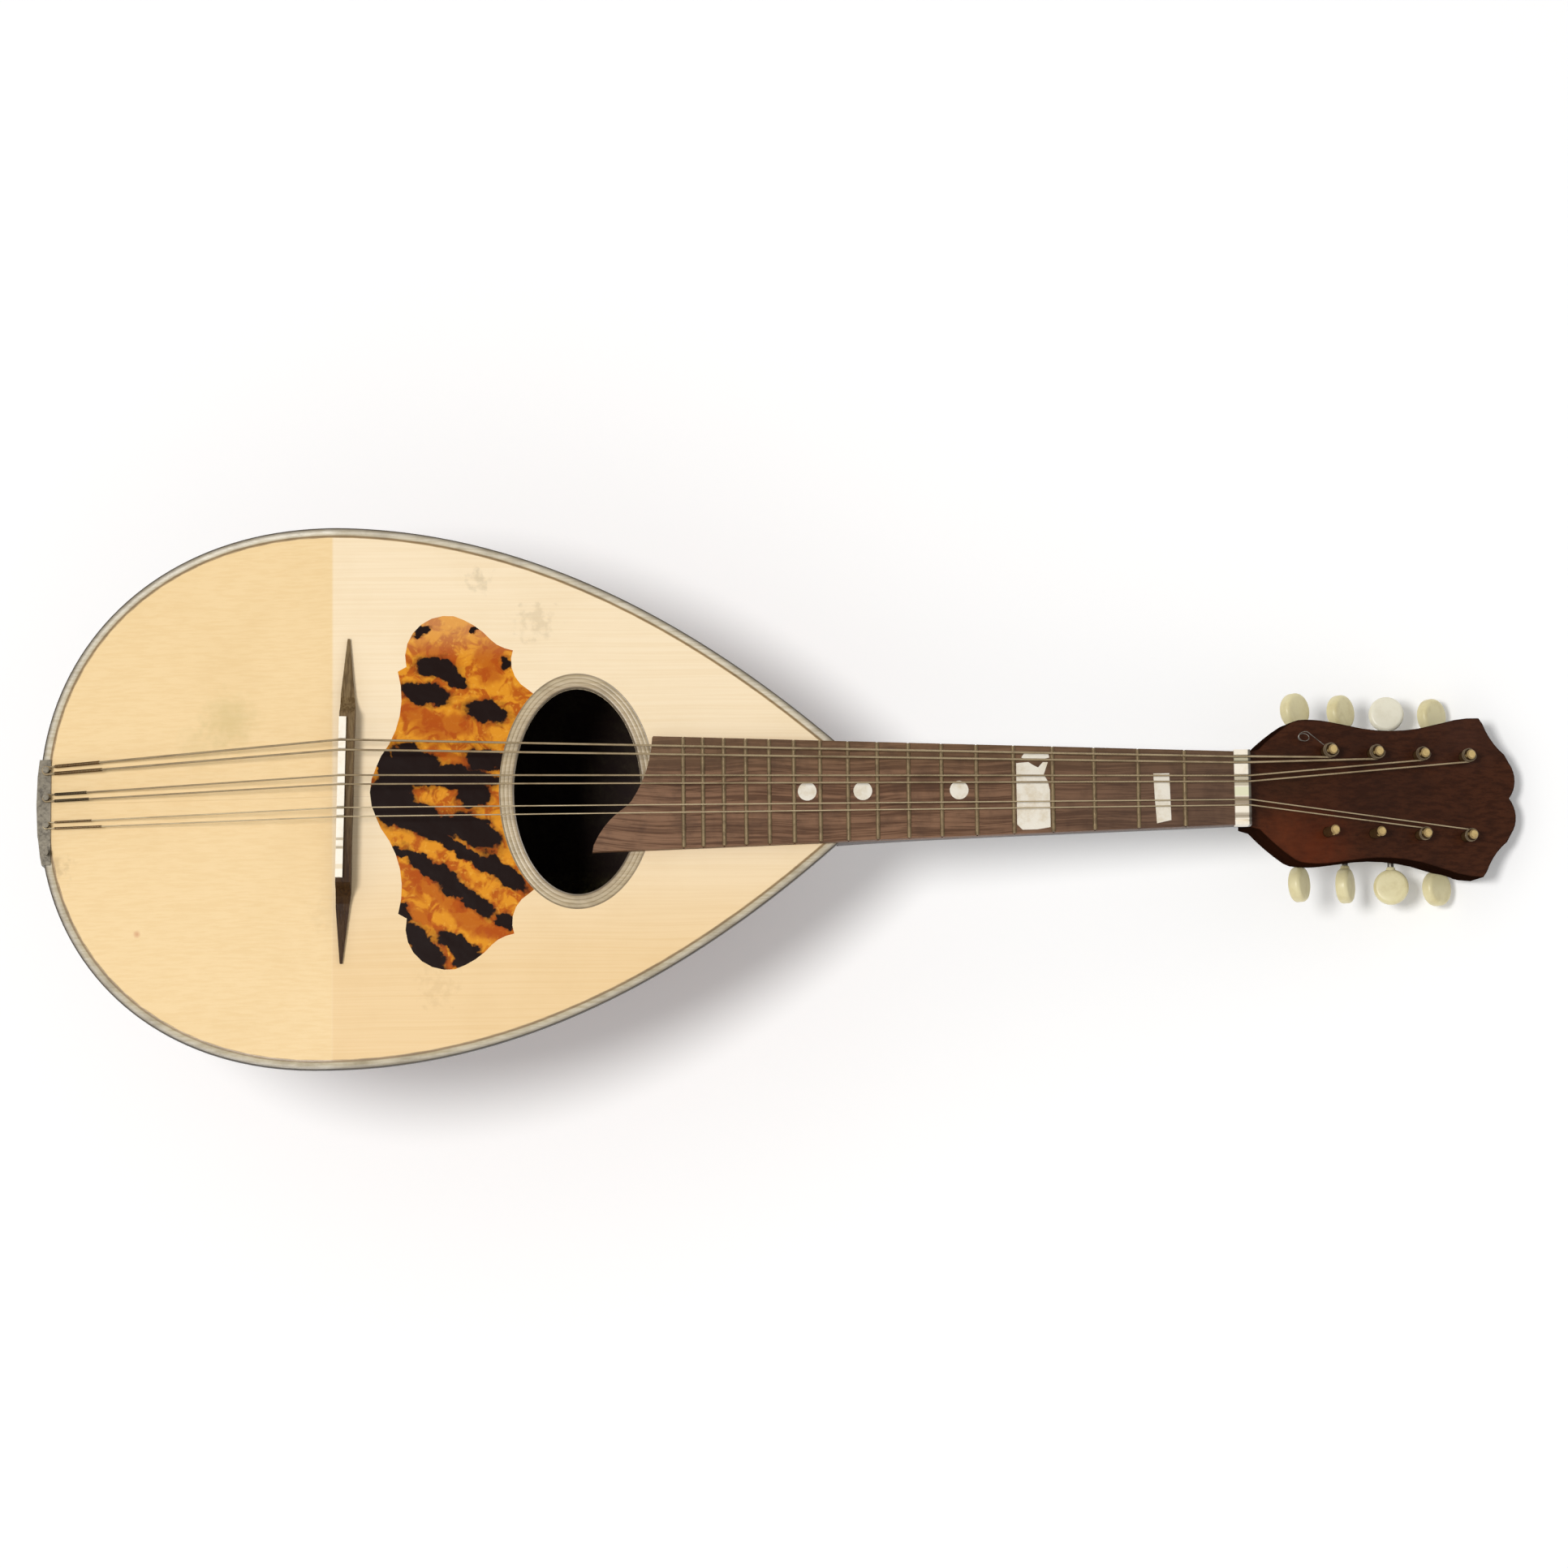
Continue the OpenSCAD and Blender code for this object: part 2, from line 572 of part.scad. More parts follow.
// Bridge: a dark base with pointed wings, and a saddle let into its tail side
bridge_h = saddle_z - 1.6;
saddle_seat_z = 6;
module on_bridge() {
    translate([saddle_x, bridge_y, 0]) rotate([0, 0, bridge_skew]) children();
}
bridge_front = bridge_w - saddle_t / 2;
module bridge_base() color("#3a2418") on_bridge() difference() {
    intersection() {
        linear_extrude(bridge_h) polygon([
            [bridge_front, 35], [bridge_front - 0.6, 40], [1.5, bridge_half_l],
            [0.6, bridge_half_l], [-saddle_t / 2, 40], [-saddle_t / 2, -40], [0.6, -bridge_half_l],
            [1.5, -bridge_half_l], [bridge_front - 0.6, -40], [bridge_front, -35]]);
        rotate([90, 0, 90]) translate([0, 0, -bridge_w]) linear_extrude(3 * bridge_w) polygon(concat(
            [[-bridge_half_l, 0], [-bridge_half_l, 1.6]],
            arc_points([-42, 2.6], [-36, 4.2], [-saddle_half_l - 2.6, bridge_h - 1], 4),
            [[-saddle_half_l - 1.6, bridge_h], [saddle_half_l + 1.6, bridge_h]],
            arc_points([saddle_half_l + 2.6, bridge_h - 1], [36, 4.2], [42, 2.6], 4),
            [[bridge_half_l, 1.6], [bridge_half_l, 0]],
            arc_points([28, 0], [15, 2.4], [2, 0], 6),
            arc_points([-2, 0], [-15, 2.4], [-28, 0], 6)));
    }
    translate([-saddle_t, -saddle_half_l - seat_gap, saddle_seat_z])
        cube([1.5 * saddle_t + seat_gap, 2 * (saddle_half_l + seat_gap), bridge_h]);
}
module bridge_saddle() color("#eadfbf") difference() {
    on_bridge() translate([-saddle_t / 2, -saddle_half_l, saddle_seat_z])
        cube([saddle_t, 2 * saddle_half_l, saddle_z + 0.3 - saddle_seat_z]);
    for (i = [0:7]) let (r = course_r(i) + string_gap)
        translate([saddle_x - bridge_w, saddle_y[i] - r, saddle_z - r]) cube([2 * bridge_w, 2 * r, 2 * r]);
}

// Head
head_half = concat(
    [[0, 14.2]],
    arc_points([4, 15.2], [12, 22.1], [18, 26.2], 4),
    arc_points([20.6, 27.1], [26, 27.4], [33, 26.9], 4),
    arc_points([41, 25.7], [56, 24.3], [70, 25.7], 5),
    arc_points([80, 28.2], [88, 30.1], [95, 30.6], 3),
    arc_points([96.6, 28.4], [99.6, 22.8], [105.3, 16.8], 5),
    arc_points([107.2, 13.6], [head_len, 8.7], [106.7, 0], 8));
function screw_us() = concat(
    [worm_u(1) - 4.2], [for (i = [1:3]) post_u(i) + 7.7], [post_u(4) + 6.2]);
module head_rows() {
    for (i = TUNERS) translate([post_u(i), row(i) * post_v, 0]) children();
}
module plate_screw_places() {
    for (s = [-1, 1]) for (u = screw_us()) translate([u, s * post_v, plate_h]) children();
}
module headstock() color("#5b2c1c") on_head() difference() {
    translate([0, 0, -head_t]) linear_extrude(head_t)
        polygon(concat(head_half, mirrored([for (i = [0:len(head_half) - 2]) head_half[i]])));
    head_rows() translate([0, 0, -head_t - 1]) cylinder(r = post_r + run_gap, h = head_t + 2);
    plate_screw_places() cylinder(r = screw_r + seat_gap, h = plate_t + screw_l + 0.4);
    // hollows in the back edge where the last button of each row turns
    for (i = [4, 8]) translate([worm_u(i), row(i) * button_v, worm_h]) sphere(r = button_reach + run_gap + 0.2);
}

// Tuning machines
module tuner_plates() color("#a39b88") on_head() difference() {
    union() {
        for (s = [-1, 1]) translate([worm_u(1) - 6.4, s * post_v - plate_w / 2, plate_h])
            cube([post_u(4) + 9 - worm_u(1) + 6.4, plate_w, plate_t]);
        for (i = TUNERS) for (e = [-1, 1])
            translate([worm_u(i) - shaft_r - 0.8, row(i) * (post_v + e * ear_v) - ear_t / 2, worm_h - shaft_r - 0.8])
                cube([2 * shaft_r + 1.6, ear_t, plate_h - worm_h + shaft_r + 0.8 + plate_t / 2]);
    }
    head_rows() translate([0, 0, plate_h - 1]) cylinder(r = post_r + run_gap, h = plate_t + 2);
    for (i = TUNERS) translate([worm_u(i), row(i) * post_v, worm_h]) rotate([90, 0, 0])
        translate([0, 0, -ear_v - ear_t]) cylinder(r = shaft_r + run_gap, h = 2 * (ear_v + ear_t));
    plate_screw_places() translate([0, 0, -1]) cylinder(r = screw_r + string_gap, h = plate_t + 2);
}
module plate_screws() color("#9a927d") on_head() plate_screw_places() {
    cylinder(r = screw_r, h = plate_t + screw_l);
    translate([0, 0, -0.9]) cylinder(r1 = 0.9, r2 = 1.5, h = 0.9);
}

tooth_slope = tan(12);
function tooth_half(beyond) = tooth_t / 2 - beyond * tooth_slope;
worm_angle = atan(worm_lead / (2 * PI * worm_r));
thread_half_l = ear_v - ear_t / 2 - side_gap;
thread_turn = 360 * (thread_half_l - tooth_half(shaft_r - worm_r)) / worm_lead;
thread_steps = ceil(2 * thread_turn / 24);
module worm_shaft(i) color("#8f897a") on_head() translate([worm_u(i), 0, worm_h])
    mirror([0, row(i) < 0 ? 1 : 0, 0]) {
        from_v = post_v - ear_v - ear_t / 2 - 0.6;
        translate([0, from_v, 0]) rotate([-90, 0, 0]) cylinder(r = shaft_r, h = button_v - from_v);
        root = shaft_r - 0.15;
        loft([for (k = [0:thread_steps]) let (a = mix(-thread_turn, thread_turn, k / thread_steps),
                                              v = post_v + worm_lead * (a / 360 + 0.5) - worm_lead / 2,
                                              d = [cos(a + 180), -sin(a + 180)])
            [for (q = [[root, -1], [tooth_tip_r, -1], [tooth_tip_r, 1], [root, 1]])
                [d.x * q.x, v + q.y * tooth_half(q.x - worm_r), d.y * q.x]]]);
    }
button_edge = 0.8;
button_reach = norm([button_r, button_t / 2 - button_edge]);
module button(i) color("#efe6cd") on_head() translate([worm_u(i), row(i) * button_v, worm_h])
    rotate([0, button_turn[i - 1], row(i) < 0 ? 180 : 0]) difference() {
        union() {
            cylinder(r = button_r, h = button_t - 2 * button_edge, center = true);
            for (m = [0, 1]) mirror([0, 0, m]) translate([0, 0, button_t / 2 - button_edge])
                cylinder(r1 = button_r, r2 = button_r - 0.9, h = button_edge);
            rotate([90, 0, 0]) cylinder(r = 2, h = button_r + 1);
        }
        rotate([90, 0, 0]) cylinder(r = shaft_r + seat_gap, h = button_r + 3);
    }

function string_turn(i) = len(search(i, string_post)) > 0
    ? bore_turn(search(i, string_post)[0])
    : 20 * i;
module post(i) color("#c9b88a") on_head() translate([post_u(i), row(i) * post_v, 0]) difference() {
    union() {
        translate([0, 0, plate_h - side_gap]) cylinder(r = post_r, h = post_h - 0.6 - plate_h + side_gap);
        translate([0, 0, post_h - 0.6]) cylinder(r1 = post_r, r2 = post_r - 0.5, h = 0.6);
        translate([0, 0, post_end_h - 0.5]) cylinder(r = pin_r, h = plate_h - post_end_h + 0.5);
        translate([0, 0, post_end_h - 0.5]) cylinder(r1 = pin_r, r2 = pin_r + 0.5, h = 0.5);
    }
    translate([0, 0, string_bore_h]) rotate([90, 0, row(i) * string_turn(i) + 90])
        translate([0, 0, -5]) cylinder(r = string_bore_r, h = 10, $fn = 32);
}
module gear(i) color("#b89a55") on_head() translate([post_u(i), row(i) * post_v, worm_h])
    mirror([0, row(i) < 0 ? 1 : 0, 0]) difference() {
        union() {
            cylinder(r = gear_r - tooth_add - 0.15, h = gear_t, center = true);
            cylinder(r = pin_r + 0.9, h = plate_h - side_gap - worm_h);
            for (k = [0:gear_n - 1]) rotate([0, 0, 180 + 360 * k / gear_n]) rotate([-worm_angle, 0, 0])
                linear_extrude(gear_t, center = true) polygon([
                    [gear_r - 1, -tooth_half(-1)], [gear_r + tooth_add, -tooth_half(tooth_add)],
                    [gear_r + tooth_add, tooth_half(tooth_add)], [gear_r - 1, tooth_half(-1)]]);
        }
        translate([0, 0, -gear_t]) cylinder(r = pin_r + seat_gap, h = 3 * gear_t);
    }

// Strings: each is one tube from its turns on a post, over nut and saddle, to an eye on a hook
string_post = [1, 2, 3, 4, 8, 7];
loop_rings = 24;
function wind_r(k) = post_r + string_gap + course_r(k);
function nut_exit(k) = [-nut_z * sin(rake), row(string_post[k]) * nut_y[k]];
function wind_start(k) =
    let (d = [post_u(string_post[k]), post_v] - nut_exit(k))
    atan2(d.y, d.x) - asin(wind_r(k) / norm(d)) - 90;
function wind_pitch(k) = 2 * course_r(k) + wind_gap;
bend_r = 0.32;
function bend_angle(k) = let (b = bend_r + course_r(k)) asin(b / (wind_r(k) - b));
function bore_turn(k) = wind_start(k) + 360 * wind_turns + bend_angle(k);
function wind_path(k) =
    let (i = string_post[k], r = wind_r(k), a0 = wind_start(k), c = [post_u(i), post_v],
         n = ceil(wind_turns * loop_rings), a1 = a0 + 360 * wind_turns,
         b = bend_r + course_r(k), f = c + (r - b) * [cos(a1), sin(a1)], e = bore_turn(k),
         low = string_bore_h - wind_pitch(k) * wind_turns)
    [for (p = concat(
        [for (j = [0:n]) let (a = mix(a0, a1, j / n))
            [c.x + r * cos(a), c.y + r * sin(a), mix(low, string_bore_h, j / n)]],
        [for (j = [1:5]) let (a = a1 + (90 + bend_angle(k)) * j / 5)
            [f.x + b * cos(a), f.y + b * sin(a), string_bore_h]],
        [[c.x - 0.9 * cos(e), c.y - 0.9 * sin(e), string_bore_h]]))
        head_point(p.x, row(i) * p.y, p.z)];
function eye_path(k) =
    let (r = course_r(k), e = k % 2 == 0 ? 1 : -1, er = hook_r + string_gap + r,
         z = hook_z + r + 0.3 + (k % 2) * (2 * r + 0.3))
    [for (a = [0:360 / loop_rings:265])
        [hook_x + er * cos(90 + a), hook_y(floor(k / 2)) + e * er * sin(90 + a), z]];
function string_path(k) = concat(
    [for (w = [wind_path(k)]) for (j = [len(w) - 1:-1:0]) w[j]],
    [[nut_x + nut_l, nut_y[k], nut_z], [nut_x, nut_y[k], nut_z], [saddle_x, saddle_y[k], saddle_z]],
    eye_path(k));
function tube_ring(p, t, r) =
    let (x = unit(cross(t, [0, 0, 1])), y = cross(x, t))
    [for (j = [0:5]) p + r * (cos(60 * j) * x + sin(60 * j) * y)];
module tube(path, r) {
    last = len(path) - 1;
    loft([for (j = [0:last])
        tube_ring(path[j], unit(path[min(j + 1, last)] - path[max(j - 1, 0)]), r)]);
}
module string(k) color(k < 4 ? "#b8a98c" : "#c4c4c0") tube(string_path(k), course_r(k));

// Least gap of each string's turns and eye to themselves, measured on their points
function least_gap(path, r) = min([for (i = [0:len(path) - 1]) for (j = [i + 1:1:len(path) - 1])
    if (j - i > loop_rings / 4) norm(path[i] - path[j]) - 2 * r]);
for (k = [0:5]) echo(str(STRING_NAMES[k], " least gap to itself in mm: ",
    min(least_gap(wind_path(k), course_r(k)),
        least_gap(concat([[saddle_x, saddle_y[k], saddle_z], hook_side(k)], eye_path(k)), course_r(k)))));
function hook_side(k) = mix(eye_path(k)[0], [saddle_x, saddle_y[k], saddle_z], 0.01);
echo(str("pitch of the resting pose ", pitch, " degrees, flat at ", contact_x, " mm, ", contact_z, " mm deep"));

at_rest() soundboard();
at_rest() rim_binding();
at_rest() rosette_ring();
at_rest() pickguard();
at_rest() soundboard_braces();
at_rest() lining_strips();
at_rest() bowl_ribs();
at_rest() tail_block();
at_rest() neck_block();
at_rest() tail_clasp();
at_rest() neck();
at_rest() headstock();
at_rest() fretboard();
at_rest() frets();
at_rest() position_markers();
at_rest() nut();
at_rest() bridge_base();
at_rest() bridge_saddle();
at_rest() tailpiece();
at_rest() tailpiece_screws();
at_rest() tuner_plates();
at_rest() plate_screws();
for (i = TUNERS) at_rest() worm_shaft(i);
for (i = TUNERS) at_rest() button(i);
for (i = TUNERS) at_rest() post(i);
for (i = TUNERS) at_rest() gear(i);
for (k = [0:5]) at_rest() string(k);
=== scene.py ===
import math

import bpy
import bmesh
from mathutils import Matrix, Vector


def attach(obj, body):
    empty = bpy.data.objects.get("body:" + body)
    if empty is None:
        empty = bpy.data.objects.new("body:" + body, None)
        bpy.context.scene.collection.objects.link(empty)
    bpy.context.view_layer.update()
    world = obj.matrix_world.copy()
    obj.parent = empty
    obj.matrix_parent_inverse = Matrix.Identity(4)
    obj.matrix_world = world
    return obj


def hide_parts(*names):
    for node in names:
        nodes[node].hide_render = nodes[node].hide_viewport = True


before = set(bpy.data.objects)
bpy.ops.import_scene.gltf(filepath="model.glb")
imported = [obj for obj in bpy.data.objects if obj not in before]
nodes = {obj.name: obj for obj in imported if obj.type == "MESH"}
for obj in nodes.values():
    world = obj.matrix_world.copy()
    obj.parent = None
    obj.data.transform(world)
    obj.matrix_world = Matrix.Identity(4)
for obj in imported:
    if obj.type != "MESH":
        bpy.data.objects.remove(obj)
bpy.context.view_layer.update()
print("stage: frame loaded,", len(nodes), "nodes")


# Places
# Lengths below are millimetres on the instrument: x from the tail to the head,
# y across, z out of the face. rowPoint turns them into metres on the table.

rest = {"pitch": 13.0315, "contactX": 163.318, "contactZ": 132.580}
tipped = math.radians(rest["pitch"])
restTurn = Matrix.Rotation(tipped, 3, "Y")
restShift = Vector((-rest["contactX"], 0, rest["contactZ"]))


def rowPoint(p):
    return restTurn @ (Vector(p) + restShift) * 0.001


def mix(a, b, k):
    return a + (b - a) * k


body = {
    "length": 300, "width": 205, "wideX": 109, "outlinePower": 2.15,
    "depth": 138, "deepX": 125, "heelDepth": 45, "bowlPower": 2.2,
    "ribs": 15, "ribThickness": 2.2, "ribInset": 1.2, "restFlat": 18, "tailOpening": 8,
    "boardThickness": 2.8, "foldX": 111, "cant": 7.5, "bindingWidth": 3.8,
}
neck = {
    "nutX": 448.5, "nutWidth": 27.8, "taper": 0.0686, "nutLength": 6.1,
    "depth": 14.5, "deepening": 3, "heelLength": 70, "headBlend": 16,
}
head = {"rake": 16, "thickness": 12, "postU": 31.5, "postStep": 18.9, "postV": 15.3,
        "postRadius": 1.85, "boreHeight": 6.4, "plateThickness": 1}
machine = {"gearRadius": 3.7, "wormRadius": 1.9, "tooth": 0.5, "sideGap": 0.25,
           "buttonV": 33.3, "buttonRadius": 6.7, "buttonThickness": 4.8,
           "turns": [26, 30, -20, 26, -46, -51, 24, -26], "litButton": 3}

headX = neck["nutX"] + neck["nutLength"]
rake = math.radians(head["rake"])
cantRise = math.tan(math.radians(body["cant"]))
boardT = body["boardThickness"]


def boardWidth(x):
    return neck["nutWidth"] + neck["taper"] * (neck["nutX"] - x)


def roundEnd(p, n):
    return max(0.0, 1 - max(0.0, p) ** n) ** (1 / n)


shoulder = (body["width"] - boardWidth(body["length"])) / 2 / (body["length"] - body["wideX"]) ** 2


def edgeHalf(x, inset=0.0):
    wide, half = body["wideX"], body["width"] / 2
    if x < wide:
        return (half - inset) * roundEnd((wide - x) / (wide - inset), body["outlinePower"])
    slope = 2 * shoulder * (x - wide)
    return half - shoulder * (x - wide) ** 2 - inset * math.sqrt(1 + slope ** 2)


def tailX(angle, inset):
    reach = body["wideX"] - inset
    return body["wideX"] - reach * math.cos(math.radians(angle)) ** (2 / body["outlinePower"])


def rimZ(x):
    return -cantRise * max(0.0, body["foldX"] - x)


tailDrop = -rimZ(0) + boardT
bowlFall = (body["depth"] - body["heelDepth"]) / (body["length"] - body["deepX"]) ** 2


def bottomZ(x):
    deep = body["deepX"]
    if x < deep:
        p = (deep - x) / (deep - body["ribInset"])
        return tailDrop + (body["depth"] - tailDrop) * roundEnd(p, body["bowlPower"])
    return body["depth"] - bowlFall * (x - deep) ** 2


def skin(x, angle):
    a = math.radians(angle)
    low = bottomZ(x) + rimZ(x) - boardT
    return Vector((x, edgeHalf(x, body["ribInset"]) * math.sin(a),
                   rimZ(x) - boardT - low * math.cos(a)))


def skinPoint(x, angle, depth):
    e = min(0.5, 0.2 * (x - body["ribInset"]))
    along = skin(x + e, angle) - skin(x - e, angle)
    n = along.cross(skin(x, angle + 1) - skin(x, angle - 1)).normalized()
    k = (body["wideX"] - x) / (body["wideX"] - body["ribInset"]) if x < body["wideX"] else 0
    d = Vector((n.x * k, n.y, n.z)).normalized()
    return skin(x, angle) + d * (depth / d.dot(n))


def headPoint(u, v, h):
    return Vector((headX + u * math.cos(rake) + h * math.sin(rake), v,
                   -u * math.sin(rake) + h * math.cos(rake)))


def row(i):
    return 1 if i <= 4 else -1


def postU(i):
    return head["postU"] + head["postStep"] * ((i - 1) % 4)


def wormU(i):
    return postU(i) - machine["gearRadius"] - machine["wormRadius"]


plateH = -head["thickness"] - head["plateThickness"]
wormH = plateH - machine["wormRadius"] - machine["tooth"] - machine["sideGap"]


# Meshes

def addObject(name, data):
    made = bpy.data.objects.new(name, data)
    bpy.context.scene.collection.objects.link(made)
    return made


def meshPiece(name, points, faces, materials, across=None, along=None, faceSlots=None, sharp=35):
    mesh = bpy.data.meshes.new(name)
    mesh.from_pydata([rowPoint(p) for p in points], [], faces)
    for m in materials:
        mesh.materials.append(m)
    if faceSlots:
        mesh.polygons.foreach_set("material_index", faceSlots)
    for label, values in (("across", across), ("along", along)):
        if values:
            mesh.attributes.new(label, "FLOAT", "POINT").data.foreach_set("value", values)
    mesh.shade_smooth()
    mesh.set_sharp_from_angle(angle=math.radians(sharp))
    piece = addObject(name, mesh)
    faceOut(piece)
    return piece


def faceOut(piece):
    bm = bmesh.new()
    bm.from_mesh(piece.data)
    bmesh.ops.recalc_face_normals(bm, faces=bm.faces)
    bm.to_mesh(piece.data)
    bm.free()


def gridFaces(rows, columns, closedRows=False, closedColumns=False):
    faces = []
    for i in range(rows if closedRows else rows - 1):
        for j in range(columns if closedColumns else columns - 1):
            a, b = i * columns + j, i * columns + (j + 1) % columns
            c, d = ((i + 1) % rows) * columns + (j + 1) % columns, ((i + 1) % rows) * columns + j
            faces.append((a, b, c, d))
    return faces


def loftFaces(rings, sides):
    faces = gridFaces(rings, sides, closedColumns=True)
    faces.append(tuple(range(sides)))
    faces.append(tuple(range((rings - 1) * sides, rings * sides)))
    return faces


def copyOfNode(name, node, materials, sharp=35):
    piece = nodes[node].copy()
    piece.data = nodes[node].data.copy()
    piece.name = name
    for key in list(piece.keys()):
        if key.startswith("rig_"):
            del piece[key]
    piece.parent = None
    piece.matrix_world = Matrix.Identity(4)
    bpy.context.scene.collection.objects.link(piece)
    bm = bmesh.new()
    bm.from_mesh(piece.data)
    bmesh.ops.remove_doubles(bm, verts=bm.verts, dist=1e-6)
    bm.to_mesh(piece.data)
    bm.free()
    if piece.data.has_custom_normals:
        with bpy.context.temp_override(object=piece, active_object=piece):
            bpy.ops.mesh.customdata_custom_splitnormals_clear()
    piece.data.materials.clear()
    for m in materials:
        piece.data.materials.append(m)
    piece.data.shade_smooth()
    piece.data.set_sharp_from_angle(angle=math.radians(sharp))
    return piece


def finishPiece(piece, bodyName, slotName, *replaced):
    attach(piece, bodyName)
    if replaced:
        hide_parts(*replaced)
    return piece


# Shader trees

def addNode(tree, kind, inputs=None, **settings):
    made = tree.nodes.new(kind)
    for key, value in settings.items():
        setattr(made, key, value)
    for key, value in (inputs or {}).items():
        if isinstance(value, bpy.types.NodeSocket):
            tree.links.new(value, made.inputs[key])
        else:
            made.inputs[key].default_value = value
    return made


def mathNode(tree, operation, a, b=0.0, clamp=False):
    return addNode(tree, "ShaderNodeMath", {0: a, 1: b}, operation=operation, use_clamp=clamp).outputs[0]


def times(tree, a, b):
    return mathNode(tree, "MULTIPLY", a, b)


def vectorMath(tree, operation, inputs, output="Vector"):
    return addNode(tree, "ShaderNodeVectorMath", inputs, operation=operation).outputs[output]


def axesOf(tree, vector):
    return addNode(tree, "ShaderNodeSeparateXYZ", {0: vector}).outputs


def mixColour(tree, factor, a, b, blend="MIX"):
    made = addNode(tree, "ShaderNodeMix", {0: factor, 6: a, 7: b}, data_type="RGBA", blend_type=blend)
    return made.outputs[2]


def fadeNode(tree, value, low, high, toLow=0.0, toHigh=1.0, style="SMOOTHSTEP"):
    inputs = {"Value": value, "From Min": low, "From Max": high, "To Min": toLow, "To Max": toHigh}
    return addNode(tree, "ShaderNodeMapRange", inputs, interpolation_type=style).outputs[0]


def rampNode(tree, value, stops, style="LINEAR"):
    made = addNode(tree, "ShaderNodeValToRGB", {0: value})
    ramp = made.color_ramp
    ramp.interpolation = style
    while len(ramp.elements) < len(stops):
        ramp.elements.new(0.5)
    for element, (place, colour) in zip(ramp.elements, stops):
        element.position = place
        element.color = srgb(*colour)
    return made.outputs[0]


def srgb(r, g, b):
    def linear(c):
        c /= 255
        return c / 12.92 if c <= 0.04045 else ((c + 0.055) / 1.055) ** 2.4
    return (linear(r), linear(g), linear(b), 1.0)


def newGroup(name, inputs, outputs):
    tree = bpy.data.node_groups.new(name, "ShaderNodeTree")
    for label, kind, value in inputs:
        made = tree.interface.new_socket(label, in_out="INPUT", socket_type="NodeSocket" + kind)
        if value is not None:
            made.default_value = value
    for label, kind in outputs:
        tree.interface.new_socket(label, in_out="OUTPUT", socket_type="NodeSocket" + kind)
    return tree, tree.nodes.new("NodeGroupInput"), tree.nodes.new("NodeGroupOutput")


def placeGroup(tree, group, **inputs):
    made = tree.nodes.new("ShaderNodeGroup")
    made.node_tree = group
    for key, value in inputs.items():
        if isinstance(value, bpy.types.NodeSocket):
            tree.links.new(value, made.inputs[key])
        else:
            made.inputs[key].default_value = value
    return made


def newMaterial(name, roughness=0.4, metallic=0.0, coat=0.0, coatRoughness=0.1, specular=0.5):
    material = bpy.data.materials.new(name)
    material.use_nodes = True
    tree = material.node_tree
    shader = tree.nodes["Principled BSDF"]
    shader.inputs["Roughness"].default_value = roughness
    shader.inputs["Metallic"].default_value = metallic
    shader.inputs["Coat Weight"].default_value = coat
    shader.inputs["Coat Roughness"].default_value = coatRoughness
    shader.inputs["Specular IOR Level"].default_value = specular
    return material, tree, shader


def onInstrument(tree, turn=(0, 0, 0)):
    # object coordinates in millimetres along the instrument, then turned
    place = addNode(tree, "ShaderNodeTexCoord").outputs["Object"]
    local = addNode(tree, "ShaderNodeMapping", {
        "Vector": place, "Scale": (1000, 1000, 1000), "Rotation": (0, -tipped, 0),
        "Location": (rest["contactX"], 0, -rest["contactZ"])}).outputs[0]
    if turn == (0, 0, 0):
        return local
    return addNode(tree, "ShaderNodeMapping", {"Vector": local, "Rotation": turn}).outputs[0]


def bump(tree, shader, height, strength=0.3, distance=0.0002):
    normal = addNode(tree, "ShaderNodeBump", {"Height": height, "Strength": strength, "Distance": distance})
    tree.links.new(normal.outputs[0], shader.inputs["Normal"])


def feed(tree, value, shader, name):
    tree.links.new(value, shader.inputs[name])


def noiseNode(tree, place, scale, detail, roughness=0.5, distortion=0.0):
    return addNode(tree, "ShaderNodeTexNoise", {"Vector": place, "Scale": scale, "Detail": detail,
                                                "Roughness": roughness, "Distortion": distortion})


def storedValue(tree, name):
    return addNode(tree, "ShaderNodeAttribute", attribute_name=name).outputs["Fac"]


# Effects that several finishes share

def makeGrainGroup():
    tree, given, out = newGroup(
        "woodGrain",
        [("Vector", "Vector", None), ("Line Step", "Float", 1.2),
         ("Stretch", "Float", 40.0), ("Waviness", "Float", 1.0),
         ("Light", "Color", None), ("Dark", "Color", None),
         ("Pores", "Float", 0.3)],
        [("Color", "Color"), ("Height", "Float")])
    vector = given.outputs["Vector"]
    drift = noiseNode(tree, vector, 0.012, 2.0).outputs[0]
    shift = times(tree, drift, given.outputs["Waviness"])
    axes = axesOf(tree, vector)
    lineY = mathNode(tree, "ADD", axes[1], times(tree, shift, 10.0))
    squeezed = mathNode(tree, "DIVIDE", axes[0], given.outputs["Stretch"])
    bent = addNode(tree, "ShaderNodeCombineXYZ", {0: squeezed, 1: lineY, 2: axes[2]}).outputs[0]
    step = mathNode(tree, "DIVIDE", 1.0, given.outputs["Line Step"])
    growth = noiseNode(tree, bent, step, 3.0, roughness=0.6).outputs[0]
    fineStep = times(tree, step, 4.0)
    fine = noiseNode(tree, bent, fineStep, 4.0).outputs[0]
    pores = times(tree, fadeNode(tree, fine, 0.52, 0.7), given.outputs["Pores"])
    lines = mathNode(tree, "ADD", fadeNode(tree, growth, 0.38, 0.66), pores, clamp=True)
    colour = mixColour(tree, lines, given.outputs["Light"], given.outputs["Dark"])
    tree.links.new(colour, out.inputs["Color"])
    height = mathNode(tree, "SUBTRACT", 1.0, lines)
    tree.links.new(height, out.inputs["Height"])
    return tree


